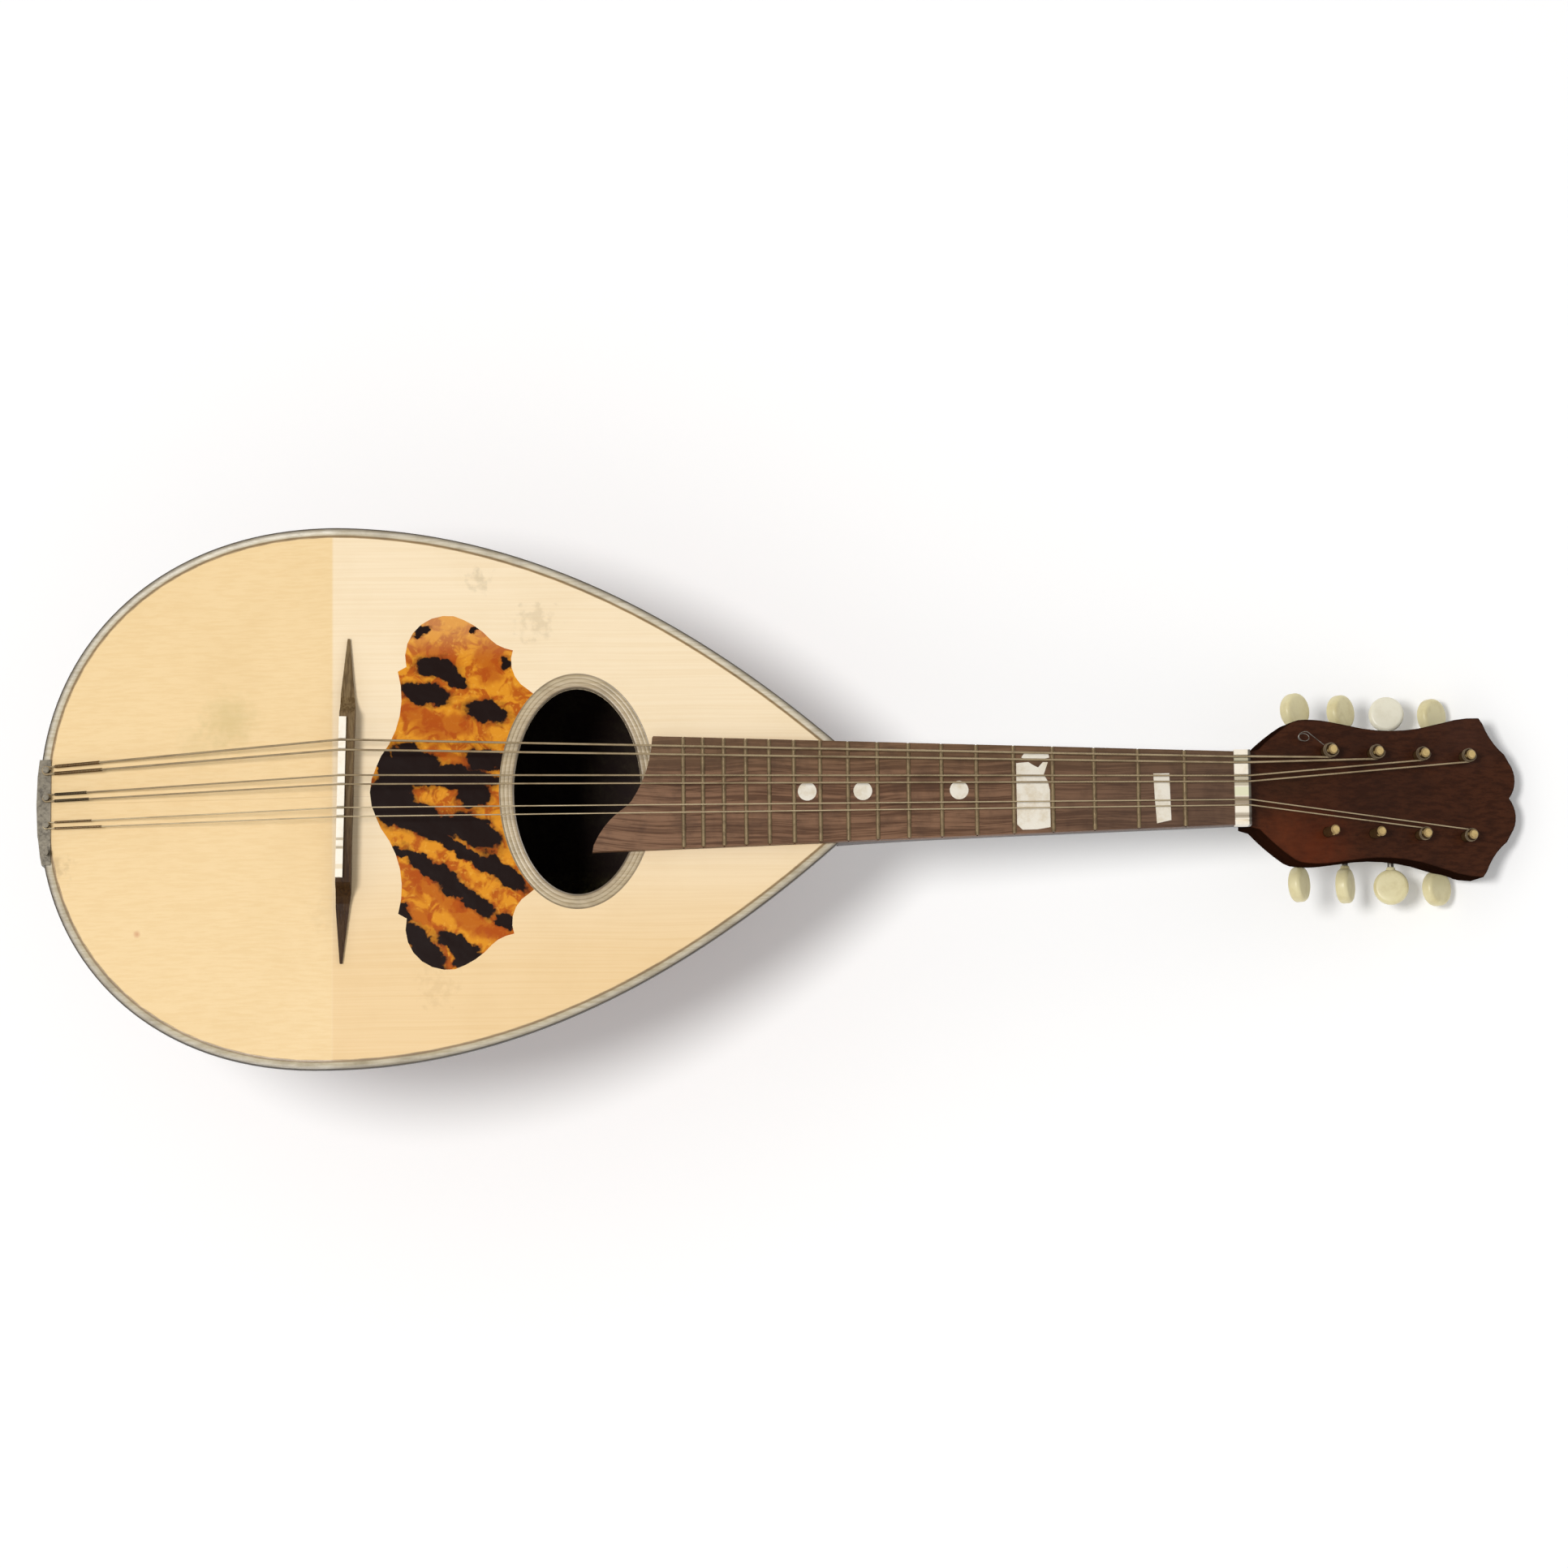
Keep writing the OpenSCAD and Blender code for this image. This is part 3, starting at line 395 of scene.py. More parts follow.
def makeSpotGroup():
    tree, given, out = newGroup(
        "softSpot",
        [("Vector", "Vector", None), ("Place", "Vector", None),
         ("Size", "Float", 10.0), ("Strength", "Float", 0.5),
         ("Break Up", "Float", 0.3)],
        [("Mask", "Float")])
    vector = given.outputs["Vector"]
    away = vectorMath(tree, "DISTANCE", {0: vector, 1: given.outputs["Place"]}, "Value")
    part = mathNode(tree, "DIVIDE", away, given.outputs["Size"])
    rough = noiseNode(tree, vector, 0.3, 3.0).outputs[0]
    rough = times(tree, mathNode(tree, "SUBTRACT", rough, 0.5), given.outputs["Break Up"])
    part = mathNode(tree, "ADD", part, times(tree, rough, 4.0))
    mask = times(tree, fadeNode(tree, part, 0.0, 1.0, 1.0, 0.0), given.outputs["Strength"])
    tree.links.new(mask, out.inputs["Mask"])
    return tree


def makeWearGroup():
    tree, given, out = newGroup(
        "handWear",
        [("Vector", "Vector", None), ("Color", "Color", None),
         ("Dirt", "Color", None), ("Amount", "Float", 0.3),
         ("Patch Size", "Float", 20.0), ("Roughness", "Float", 0.4),
         ("Roughness Change", "Float", 0.15)],
        [("Color", "Color"), ("Roughness", "Float"), ("Height", "Float")])
    vector = given.outputs["Vector"]
    size = mathNode(tree, "DIVIDE", 1.0, given.outputs["Patch Size"])
    patch = noiseNode(tree, vector, size, 5.0, roughness=0.65).outputs[0]
    mask = times(tree, fadeNode(tree, patch, 0.42, 0.72), given.outputs["Amount"])
    colour = mixColour(tree, mask, given.outputs["Color"], given.outputs["Dirt"])
    tree.links.new(colour, out.inputs["Color"])
    speck = noiseNode(tree, vector, 1.4, 4.0).outputs[0]
    change = times(tree, mathNode(tree, "SUBTRACT", speck, 0.5), given.outputs["Roughness Change"])
    change = times(tree, change, 2.0)
    roughness = mathNode(tree, "ADD", given.outputs["Roughness"], change, clamp=True)
    tree.links.new(roughness, out.inputs["Roughness"])
    tree.links.new(speck, out.inputs["Height"])
    return tree


woodGrain = makeGrainGroup()
softSpot = makeSpotGroup()
handWear = makeWearGroup()
print("stage: shared effects built")


def grainOn(tree, vector, lineStep, stretch, waviness, light, dark, pores):
    return placeGroup(tree, woodGrain, Vector=vector, **{"Line Step": lineStep}, Stretch=stretch,
                      Waviness=waviness, Light=srgb(*light), Dark=srgb(*dark), Pores=pores)


def spotted(tree, place, colour, spots):
    for where, size, strength, tint, breakUp in spots:
        mask = placeGroup(tree, softSpot, Vector=place, Place=where, Size=size, Strength=strength,
                          **{"Break Up": breakUp}).outputs[0]
        colour = mixColour(tree, mask, colour, srgb(*tint))
    return colour


def wearOn(tree, place, colour, dirt, amount, roughness, patch=20.0, change=0.15):
    return placeGroup(tree, handWear, Vector=place, Color=colour, Dirt=srgb(*dirt), Amount=amount,
                      Roughness=roughness, **{"Patch Size": patch, "Roughness Change": change})


def wornSurface(material, place, colour, dirt, amount, roughness, height, strength, distance=0.0002,
                patch=20.0, change=0.15):
    # dirt and uneven gloss over a colour; with no height of its own the bump follows the wear
    tree = material.node_tree
    shader = tree.nodes["Principled BSDF"]
    worn = wearOn(tree, place, colour, dirt, amount, roughness, patch, change)
    feed(tree, worn.outputs["Color"], shader, "Base Color")
    feed(tree, worn.outputs["Roughness"], shader, "Roughness")
    bump(tree, shader, worn.outputs["Height"] if height is None else height, strength, distance)
    return material


def woodMaterial(name, light, dark, dirt, lineStep=1.2, stretch=40, waviness=1.0, pores=0.3, wear=0.25,
                 roughness=0.4, coat=0.0, turn=(0, 0, 0)):
    material, tree, _ = newMaterial(name, roughness, coat=coat, coatRoughness=0.12)
    place = onInstrument(tree, turn)
    grain = grainOn(tree, place, lineStep, stretch, waviness, light, dark, pores)
    return wornSurface(material, place, grain.outputs["Color"], dirt, wear, roughness,
                       grain.outputs["Height"], 0.15)


def metalMaterial(name, bright, dull, roughness=0.35, patch=6.0, amount=0.5, metallic=1.0):
    material, tree, _ = newMaterial(name, roughness, metallic=metallic)
    return wornSurface(material, onInstrument(tree), srgb(*bright), dull, amount, roughness,
                       None, 0.15, 0.0001, patch, 0.25)


def smoothMaterial(name, base, stain, roughness=0.3, patch=5.0, amount=0.4, coat=0.3):
    material, tree, _ = newMaterial(name, roughness, coat=coat)
    return wornSurface(material, onInstrument(tree), srgb(*base), stain, amount, roughness,
                       None, 0.05, 0.0001, patch, 0.1)


# Finishes

board = {"light": (248, 227, 192), "dark": (244, 221, 183), "lineStep": 1.1,
         "tailShadeTint": (247, 236, 210), "lowTint": (247, 234, 210)}

boardSpots = [      # place, size, strength, tint and raggedness of each stain
    ((72, 30, -5), 15, 0.55, (206, 182, 122), 0.2), ((60, 20, -6), 12, 0.25, (206, 184, 126), 0.3),
    ((166, 82, 0), 5, 0.35, (176, 160, 128), 0.8), ((187, 66, 0), 8, 0.3, (186, 166, 130), 0.9),
    ((150, -72, 0), 9, 0.25, (206, 172, 120), 0.9), ((116, 40, 0), 6, 0.15, (190, 160, 112), 0.6),
    ((6, -24, -14), 7, 0.3, (150, 120, 76), 0.7), ((110, -45, 0), 10, 0.15, (200, 170, 120), 0.7),
    ((37.4, -50, -9.7), 2, 0.5, (190, 110, 70), 0.2)]


def spruceMaterial():
    material, tree, shader = newMaterial("spruceTop", 0.6, specular=0.2)
    place = onInstrument(tree)
    grain = grainOn(tree, place, board["lineStep"], 90, 0.3, board["light"], board["dark"], 0.05)
    worn = wearOn(tree, place, grain.outputs["Color"], (232, 206, 162), 0.22, 0.42, 34.0, 0.12)
    axes = axesOf(tree, place)
    # painted shade: the canted tail part beyond the fold is tinted darker and yellower for its tilt to the
    # light
    cantShade = fadeNode(tree, axes[0], body["foldX"] - 0.6, body["foldX"] + 0.6, 1.0, 0.0)
    colour = mixColour(tree, cantShade, worn.outputs["Color"], srgb(*board["tailShadeTint"]), "MULTIPLY")
    # the low side of the flat part is yellower
    low = times(tree, fadeNode(tree, axes[1], -70.0, 0.0, 1.0, 0.0),
                   mathNode(tree, "SUBTRACT", 1.0, cantShade))
    colour = mixColour(tree, low, colour, srgb(*board["lowTint"]), "MULTIPLY")
    joint = fadeNode(tree, mathNode(tree, "ABSOLUTE", axes[1]), 0.05, 0.3, 0.25, 0.0)
    colour = mixColour(tree, joint, colour, srgb(196, 160, 108))
    colour = spotted(tree, place, colour, boardSpots)
    feed(tree, colour, shader, "Base Color")
    feed(tree, worn.outputs["Roughness"], shader, "Roughness")
    bump(tree, shader, grain.outputs["Height"], 0.05, 0.0001)
    return material


guard = {
    "amber": (224, 146, 34), "orange": (174, 74, 10), "brown": (26, 10, 6), "edge": (92, 32, 6),
    "grow": 1.14,
    # place, half length, half width and turn of each dark patch, then of each orange one
    "patches": [
        (150, 48.7, 7, 3.5, -11), (157.9, 43.9, 3.8, 2.4, -26), (145.3, 38.8, 8.2, 3.5, -9),
        (169, 31.6, 7.5, 3.7, -9), (144.2, 62.8, 3.2, 1.7, 30), (176.1, 50.4, 1.7, 2.6, 0),
        (164.4, 62.8, 1.5, 1.1, 0), (142, 14.8, 8.4, 3.4, -19), (130.4, 12.5, 2.8, 3.9, 0),
        (168, 13.6, 6.7, 3.3, 0), (154.5, 6.7, 17.7, 3.2, -4), (132.2, -1.1, 7.4, 7.4, 0),
        (163.8, 0, 5.4, 3.9, 0), (142.4, -9.2, 15.8, 3.7, -13), (164.6, -13.6, 9.3, 4.8, -34),
        (159, -20.6, 16.8, 1.9, -34), (174.8, -29.1, 9.8, 3, -37), (134, -20.8, 4.2, 1.7, -21),
        (147.4, -27, 10.4, 2.8, -31), (160.8, -37.9, 11, 2.8, -36), (175.2, -46.9, 3, 2.4, -1),
        (137, -44.4, 2.6, 3.9, 20), (145.1, -57.4, 9.8, 3.9, -53), (158, -57, 8.5, 3, -31),
        (141.4, -62, 4.4, 4.8, -1), (160.8, -60.8, 4.1, 2.4, 20), (133.6, 1.9, 6, 8, 0),
        (151.1, 7.6, 15, 3.6, 0), (141.6, -7.8, 12, 5, -20), (166.9, -12.8, 4, 3, -30),
        (138.4, 13.1, 5, 3, 0)],
    "tints": [
        (140.6, 31.8, 4.5, 3.9, 0), (152.7, 26.5, 10.2, 4.5, 0), (157.3, 13.7, 8.4, 2.2, -26),
        (150.9, 53.9, 7.5, 2.8, -21), (170.5, 51.4, 5.6, 7.5, 0), (147, -34, 8.9, 3.2, -39),
        (161.7, -45.8, 11.2, 4.1, -39), (143.2, -45.2, 6.5, 2.2, -31), (170, -51.1, 5.6, 2.8, -1)],
}


def patchField(tree, place, patches):
    # the distance into the nearest patch, 1 on its rim
    nearest = None
    for x, y, a, b, turn in patches:
        a, b = a * guard["grow"], b * guard["grow"]
        t = math.radians(-turn)
        c, s = math.cos(t), math.sin(t)
        at = ((-x * c + y * s) / a, (-x * s - y * c) / b, 0)
        local = addNode(tree, "ShaderNodeMapping", {"Vector": place, "Rotation": (0, 0, t)}).outputs[0]
        moved = addNode(tree, "ShaderNodeMapping",
                        {"Vector": local, "Scale": (1 / a, 1 / b, 0), "Location": at}).outputs[0]
        away = vectorMath(tree, "LENGTH", {0: moved}, "Value")
        if nearest is None:
            nearest = away
        else:
            nearest = addNode(tree, "ShaderNodeMath", {0: nearest, 1: away, 2: 0.25},
                              operation="SMOOTH_MIN").outputs[0]
    return nearest


def tortoiseshellMaterial():
    material, tree, shader = newMaterial("tortoiseshell", 0.3, specular=0.08)
    place = onInstrument(tree)
    loose = place
    for noise, reach in ((noiseNode(tree, place, 0.2, 2.0), 7.0), (noiseNode(tree, place, 0.9, 3.0), 1.6)):
        shake = vectorMath(tree, "ADD", {0: noise.outputs["Color"], 1: (-0.5, -0.5, -0.5)})
        shake = vectorMath(tree, "SCALE", {0: shake, 3: reach})
        loose = vectorMath(tree, "ADD", {0: loose, 1: shake})
    field = patchField(tree, loose, guard["patches"])
    dark = fadeNode(tree, field, 0.94, 1.1, 1.0, 0.0)
    warm = fadeNode(tree, patchField(tree, loose, guard["tints"]), 0.7, 1.3, 1.0, 0.0)
    cloud = noiseNode(tree, place, 0.14, 4.0, distortion=1.2).outputs[0]
    fleck = noiseNode(tree, place, 0.6, 3.0).outputs[0]
    colour = mixColour(tree, fadeNode(tree, cloud, 0.44, 0.6, 0.0, 0.85), srgb(*guard["amber"]),
                       srgb(*guard["orange"]))
    colour = mixColour(tree, fadeNode(tree, fleck, 0.55, 0.7, 0.0, 0.45), colour, srgb(240, 176, 64))
    colour = mixColour(tree, times(tree, warm, 0.7), colour, srgb(*guard["orange"]))
    axes = axesOf(tree, place)
    pale = fadeNode(tree, axes[1], 50.0, 66.0, 0.0, 0.3)
    colour = mixColour(tree, pale, colour, srgb(232, 186, 130))
    halo = fadeNode(tree, field, 0.95, 1.45, 0.6, 0.0)
    colour = mixColour(tree, halo, colour, srgb(*guard["edge"]))
    colour = mixColour(tree, dark, colour, srgb(*guard["brown"]))
    feed(tree, colour, shader, "Base Color")
    soft = noiseNode(tree, place, 0.12, 2.0).outputs[0]
    bump(tree, shader, soft, 0.25, 0.0004)
    return material


def bandMaterial(name, stops, light, dark, lineStep, roughness, coat=0.15):
    # bands across a strip, from the piece's own attribute, over a wood grain
    material, tree, _ = newMaterial(name, roughness, coat=coat, coatRoughness=0.2)
    across = storedValue(tree, "across")
    place = onInstrument(tree)
    waver = noiseNode(tree, place, 0.12, 3.0).outputs[0]
    waver = times(tree, mathNode(tree, "SUBTRACT", waver, 0.5), 0.05)
    bands = rampNode(tree, mathNode(tree, "ADD", across, waver), stops)
    grain = grainOn(tree, place, lineStep, 14, 1, light, dark, 0.2)
    colour = mixColour(tree, 1.0, bands, grain.outputs["Color"], "MULTIPLY")
    height = addNode(tree, "ShaderNodeRGBToBW", {0: bands}).outputs[0]
    return wornSurface(material, place, colour, (96, 82, 60), 0.35, roughness, height, 0.3, 0.0001, 12.0)


bindingStops = [
    (0.0, (52, 48, 42)), (0.1, (84, 76, 66)), (0.17, (156, 149, 136)), (0.4, (198, 190, 172)),
    (0.7, (204, 194, 170)), (0.8, (150, 126, 90)), (0.92, (146, 120, 82)), (0.97, (206, 178, 132)),
    (1.0, (214, 186, 142))]
rosetteStops = [
    (0.0, (98, 84, 64)), (0.08, (118, 104, 84)), (0.14, (180, 163, 136)), (0.34, (194, 178, 150)),
    (0.38, (158, 142, 116)), (0.43, (200, 184, 156)), (0.62, (196, 180, 150)), (0.66, (154, 138, 112)),
    (0.7, (198, 182, 152)), (0.88, (186, 170, 140)), (0.93, (140, 124, 98)), (1.0, (164, 147, 116))]
ribSeam = {"pale": (0.468, 0.474), "dark": (0.492, 0.496)}     # how far from a rib's middle, of its width


def ribMaterial():
    material, tree, _ = newMaterial("ribWood", 0.3, coat=0.5, coatRoughness=0.1)
    across = storedValue(tree, "across")
    place = onInstrument(tree)
    grain = grainOn(tree, place, 2.4, 30, 2.2, (122, 62, 34), (58, 24, 14), 0.35)
    tone = storedValue(tree, "along")
    toned = mixColour(tree, times(tree, tone, 0.5), grain.outputs["Color"], srgb(150, 84, 48))
    offset = mathNode(tree, "ABSOLUTE", mathNode(tree, "SUBTRACT", across, 0.5))
    colour = mixColour(tree, fadeNode(tree, offset, *ribSeam["pale"]), toned, srgb(206, 170, 112))
    edge = fadeNode(tree, offset, *ribSeam["dark"])
    colour = mixColour(tree, edge, colour, srgb(34, 18, 12))
    return wornSurface(material, place, colour, (40, 20, 12), 0.4, 0.3,
                       grain.outputs["Height"], 0.1, patch=30.0)


def liningMaterial():
    # mottled paper glued inside the bowl
    material, tree, shader = newMaterial("liningPaper", 0.8)
    place = onInstrument(tree)
    cloud = noiseNode(tree, place, 0.09, 6.0, roughness=0.7).outputs[0]
    flake = addNode(tree, "ShaderNodeTexVoronoi", {"Vector": place, "Scale": 0.35}).outputs["Distance"]
    colour = rampNode(tree, cloud, [(0.36, (56, 44, 26)), (0.48, (122, 110, 62)), (0.6, (206, 198, 130)),
                                    (0.72, (246, 240, 184))])
    colour = mixColour(tree, fadeNode(tree, flake, 0.1, 0.6, 0.5, 0.0), colour, srgb(30, 20, 14))
    axes = axesOf(tree, place)
    # painted light and shade: the mottled colours stay bright on the lower inside, where light comes through
    # the hole, and the upper side is darkened nearly to black
    upper = fadeNode(tree, axes[1], -34.0, -12.0, 0.0, 0.97)
    colour = mixColour(tree, upper, colour, srgb(34, 14, 12))
    feed(tree, colour, shader, "Base Color")
    bump(tree, shader, cloud, 0.4, 0.0006)
    return material


def fretboardMaterial():
    material, tree, _ = newMaterial("fretboardWood", 0.5, specular=0.12)
    place = onInstrument(tree)
    grain = grainOn(tree, place, 1.5, 34, 1.2, (134, 100, 76), (92, 64, 46), 0.65)
    axes = axesOf(tree, place)
    nutEnd = fadeNode(tree, axes[0], 330.0, 440.0, 0.0, 0.55)
    colour = mixColour(tree, nutEnd, grain.outputs["Color"], srgb(78, 62, 52))
    upper = fadeNode(tree, axes[1], 2.0, 16.0, 0.0, 0.4)
    colour = mixColour(tree, upper, colour, srgb(112, 88, 62))
    return wornSurface(material, place, colour, (66, 48, 38), 0.4, 0.45,
                       grain.outputs["Height"], 0.35, patch=9.0)


def bridgeMaterial():
    # bare on the upper wing, darker on the lower one
    material, tree, _ = newMaterial("bridgeWood", 0.55, specular=0.15)
    place = onInstrument(tree)
    turned = onInstrument(tree, (0, 0, math.pi / 2))
    grain = grainOn(tree, turned, 0.9, 18, 0.8, (126, 104, 70), (92, 70, 40), 0.4)
    axes = axesOf(tree, place)
    low = fadeNode(tree, axes[1], -36.0, 24.0, 1.0, 0.0)
    colour = mixColour(tree, low, grain.outputs["Color"], srgb(140, 112, 72), "MULTIPLY")
    return wornSurface(material, place, colour, (58, 42, 24), 0.35, 0.5,
                       grain.outputs["Height"], 0.25, patch=9.0)


faceNormal = restTurn @ Vector((math.sin(rake), 0, math.cos(rake)))


def facing(tree, direction):
    # how far the surface looks in the direction, 1 when it looks straight that way
    plain = addNode(tree, "ShaderNodeNewGeometry").outputs["Normal"]
    return vectorMath(tree, "DOT_PRODUCT", {0: plain, 1: direction}, "Value")


headSpots = [
    ((478, -23, -6), 26, 0.6, (104, 44, 18), 0.2), ((466, -16, -4), 16, 0.5, (100, 48, 24), 0.2),
    ((508, 2, -15), 34, 0.35, (44, 26, 18), 0.2), ((540, 24, -25), 22, 0.35, (74, 46, 36), 0.2),
    ((470, 5, -4), 20, 0.35, (52, 34, 20), 0.2)]


def headMaterial():
    material, tree, shader = newMaterial("headWood", 0.45)
    place = onInstrument(tree)
    grain = grainOn(tree, place, 1.4, 26, 1.2, (70, 37, 20), (54, 26, 12), 0.3)
    colour = spotted(tree, place, grain.outputs["Color"], headSpots)
    worn = wearOn(tree, place, colour, (34, 18, 12), 0.4, 0.36, 14.0)
    # painted shade: rounded edges and the sides that face away from the head's face are darkened nearly to
    # black, with less gloss
    rounded = addNode(tree, "ShaderNodeBevel", {"Radius": 0.0008}, samples=4).outputs[0]
    rim = fadeNode(tree, facing(tree, rounded), 0.85, 0.99, 0.7, 0.0)
    side = fadeNode(tree, facing(tree, faceNormal), 0.3, 0.8, 0.85, 0.0)
    dark = mathNode(tree, "MAXIMUM", rim, side)
    feed(tree, fadeNode(tree, dark, 0.0, 0.7, 0.12, 0.0), shader, "Specular IOR Level")
    feed(tree, mixColour(tree, dark, worn.outputs["Color"], srgb(20, 11, 8)), shader, "Base Color")
    feed(tree, worn.outputs["Roughness"], shader, "Roughness")
    bump(tree, shader, grain.outputs["Height"], 0.25)
    return material


def postMaterial():
    # painted highlight on the tip, which faces out of the head's face, and painted shade round the side, with
    # dirt over both
    material, tree, _ = newMaterial("postBrass", 0.4, metallic=0.5)
    place = onInstrument(tree)
    litTip = fadeNode(tree, facing(tree, faceNormal), 0.4, 0.9)
    tone = mixColour(tree, litTip, srgb(92, 68, 38), srgb(226, 196, 132))
    return wornSurface(material, place, tone, (120, 90, 52), 0.4, 0.4, None, 0.1, 0.0001, 1.6, 0.2)


def boneMaterial(name, worn):
    # white bone, greyer where the strings have worn it: y and half width of each worn stretch
    material, tree, shader = newMaterial(name, 0.34, coat=0.15)
    place = onInstrument(tree)
    base = wearOn(tree, place, srgb(250, 240, 222), (222, 206, 172), 0.4, 0.34, 3.0)
    colour = base.outputs["Color"]
    axes = axesOf(tree, place)
    for y, half, tint in worn:
        away = mathNode(tree, "ABSOLUTE", mathNode(tree, "SUBTRACT", axes[1], y))
        mark = fadeNode(tree, away, half - 0.3, half + 0.3, 0.9, 0.0)
        colour = mixColour(tree, mark, colour, srgb(*tint))
    # painted shade: the strip of the nut next to the head is darkened, as the gap before the head is in
    # shadow
    nutBackShade = fadeNode(tree, axes[0], neck["nutX"] + 4.9, neck["nutX"] + 5.5, 0.0, 0.9)
    colour = mixColour(tree, nutBackShade, colour, srgb(34, 20, 12))
    feed(tree, colour, shader, "Base Color")
    feed(tree, base.outputs["Roughness"], shader, "Roughness")
    bump(tree, shader, base.outputs["Height"], 0.05, 0.0001)
    return material


nutWear = [(10.6, 1.6, (176, 168, 138)), (2.6, 2.1, (186, 174, 148)), (-5.0, 1.4, (150, 130, 104)),
           (-10.7, 1.0, (186, 172, 150)), (-1.6, 1.7, (228, 226, 190))]
saddleWear = [(-5.7, 0.6, (176, 162, 132)), (-9.1, 0.6, (176, 162, 132)), (-17.5, 0.5, (196, 182, 152)),
              (-20.7, 0.5, (184, 168, 136)), (-27.8, 0.9, (232, 214, 180))]


def wireMaterial(name, bright, dark, step, depth):
    # windings along a string, from the length stored on it
    material, tree, shader = newMaterial(name, 0.5, metallic=0.35)
    along = storedValue(tree, "along")
    wave = mathNode(tree, "SINE", times(tree, along, 2 * math.pi / step))
    place = onInstrument(tree)
    worn = wearOn(tree, place, srgb(*bright), dark, 0.7, 0.45, 14.0, 0.2)
    # painted shade in the grooves between the turns of the winding
    grooveShade = times(tree, fadeNode(tree, wave, -1.0, -0.2, 0.55, 0.0), depth)
    colour = mixColour(tree, grooveShade, worn.outputs["Color"], srgb(*dark))
    postEndShade = fadeNode(tree, along, 24.0, 34.0, 0.75, 0.0)     # painted shade: darker over the first stretch from the post, the turns round it
    feed(tree, mixColour(tree, postEndShade, colour, srgb(74, 56, 36)), shader, "Base Color")
    feed(tree, worn.outputs["Roughness"], shader, "Roughness")
    bump(tree, shader, wave, depth, 0.0001)
    return material


finish = {
    "spruce": spruceMaterial(),
    "binding": bandMaterial("bindingBands", bindingStops, (255, 252, 246), (232, 224, 206), 1.0, 0.45),
    "rosette": bandMaterial("rosetteBands", rosetteStops, (255, 252, 246), (236, 228, 212), 0.8, 0.45),
    "guard": tortoiseshellMaterial(),
    "ribs": ribMaterial(),
    "lining": liningMaterial(),
    "inner": woodMaterial("innerWood", (120, 96, 62), (92, 68, 42), (60, 40, 26), wear=0.5, roughness=0.7),
    "head": headMaterial(),
    "neck": woodMaterial("neckWood", (60, 34, 24), (36, 19, 13), (28, 15, 10), 1.4, 28, 1.3, 0.5, 0.4, 0.45),
    "clasp": woodMaterial("claspWood", (66, 34, 22), (36, 16, 11), (24, 12, 8), 1.6, 20, 1.3, 0.4, 0.4, 0.3,
                          coat=0.5, turn=(0, 0, math.pi / 2)),
    "fretboard": fretboardMaterial(),
    "bridge": bridgeMaterial(),
    "pearl": smoothMaterial("pearl", (240, 233, 218), (206, 186, 148), 0.25, 5.0, 0.55, 0.5),
    "bone": boneMaterial("saddleBone", saddleWear),
    "nut": boneMaterial("nutBone", nutWear),
    "ivory": smoothMaterial("ivoryButton", (232, 221, 174), (204, 187, 132), 0.35, 6.0, 0.5, 0.0),
    # painted light: a paler copy of the ivory for the button that the light falls on most
    "litIvory": smoothMaterial("litIvoryButton", (242, 237, 216), (222, 214, 186), 0.35, 6.0, 0.4, 0.0),
    "fretBrass": metalMaterial("fretBrass", (134, 114, 82), (96, 76, 52), 0.5, 3.0, 0.8, metallic=0.4),
    "nickel": metalMaterial("wornNickel", (112, 104, 88), (58, 50, 38), 0.45, 2.0, 0.9, metallic=0.3),
    "steel": metalMaterial("darkSteel", (150, 145, 136), (66, 58, 48), 0.42, 3.0, 0.7),
    "brass": metalMaterial("agedBrass", (224, 196, 136), (140, 106, 60), 0.34, 3.0, 0.6),
    "postTip": postMaterial(),
    "wound": wireMaterial("woundWire", (176, 156, 122), (122, 102, 72), 0.42, 0.5),
    "plain": wireMaterial("plainWire", (186, 168, 134), (146, 126, 94), 6.0, 0.0),
    "twistBrown": metalMaterial("brownTwist", (132, 100, 60), (84, 58, 30), 0.5, 1.5, 0.8),
    "twistDark": metalMaterial("darkTwist", (60, 48, 34), (30, 22, 16), 0.5, 1.5, 0.8),
}
print("stage: finishes built,", len(finish))


# Geometry node trees

def newTree(name, inputs):
    tree = bpy.data.node_groups.new(name, "GeometryNodeTree")
    tree.interface.new_socket("Geometry", in_out="INPUT", socket_type="NodeSocketGeometry")
    for label, kind, value in inputs:
        made = tree.interface.new_socket(label, in_out="INPUT", socket_type="NodeSocket" + kind)
        if value is not None:
            made.default_value = value
    tree.interface.new_socket("Geometry", in_out="OUTPUT", socket_type="NodeSocketGeometry")
    return tree, tree.nodes.new("NodeGroupInput"), tree.nodes.new("NodeGroupOutput")


def closeTree(tree, geometry, given, out):
    real = addNode(tree, "GeometryNodeRealizeInstances", {"Geometry": geometry}).outputs[0]
    dressed = addNode(tree, "GeometryNodeSetMaterial",
                      {"Geometry": real, "Material": given.outputs["Material"]})
    tree.links.new(dressed.outputs[0], out.inputs["Geometry"])
    return tree


def bakedPiece(name, source, tree, values, merge=0.0):
    # runs a tree on the source object and keeps only its plain mesh
    modifier = source.modifiers.new("shape", "NODES")
    modifier.node_group = tree
    keys = {item.name: item.identifier for item in tree.interface.items_tree
            if item.item_type == "SOCKET" and item.in_out == "INPUT"}
    for label, value in values.items():
        modifier[keys[label]] = value
    bpy.context.view_layer.update()
    graph = bpy.context.evaluated_depsgraph_get()
    mesh = bpy.data.meshes.new_from_object(source.evaluated_get(graph), depsgraph=graph)
    mesh.name = name
    source.modifiers.remove(modifier)
    bpy.data.objects.remove(source)
    piece = addObject(name, mesh)
    return piece


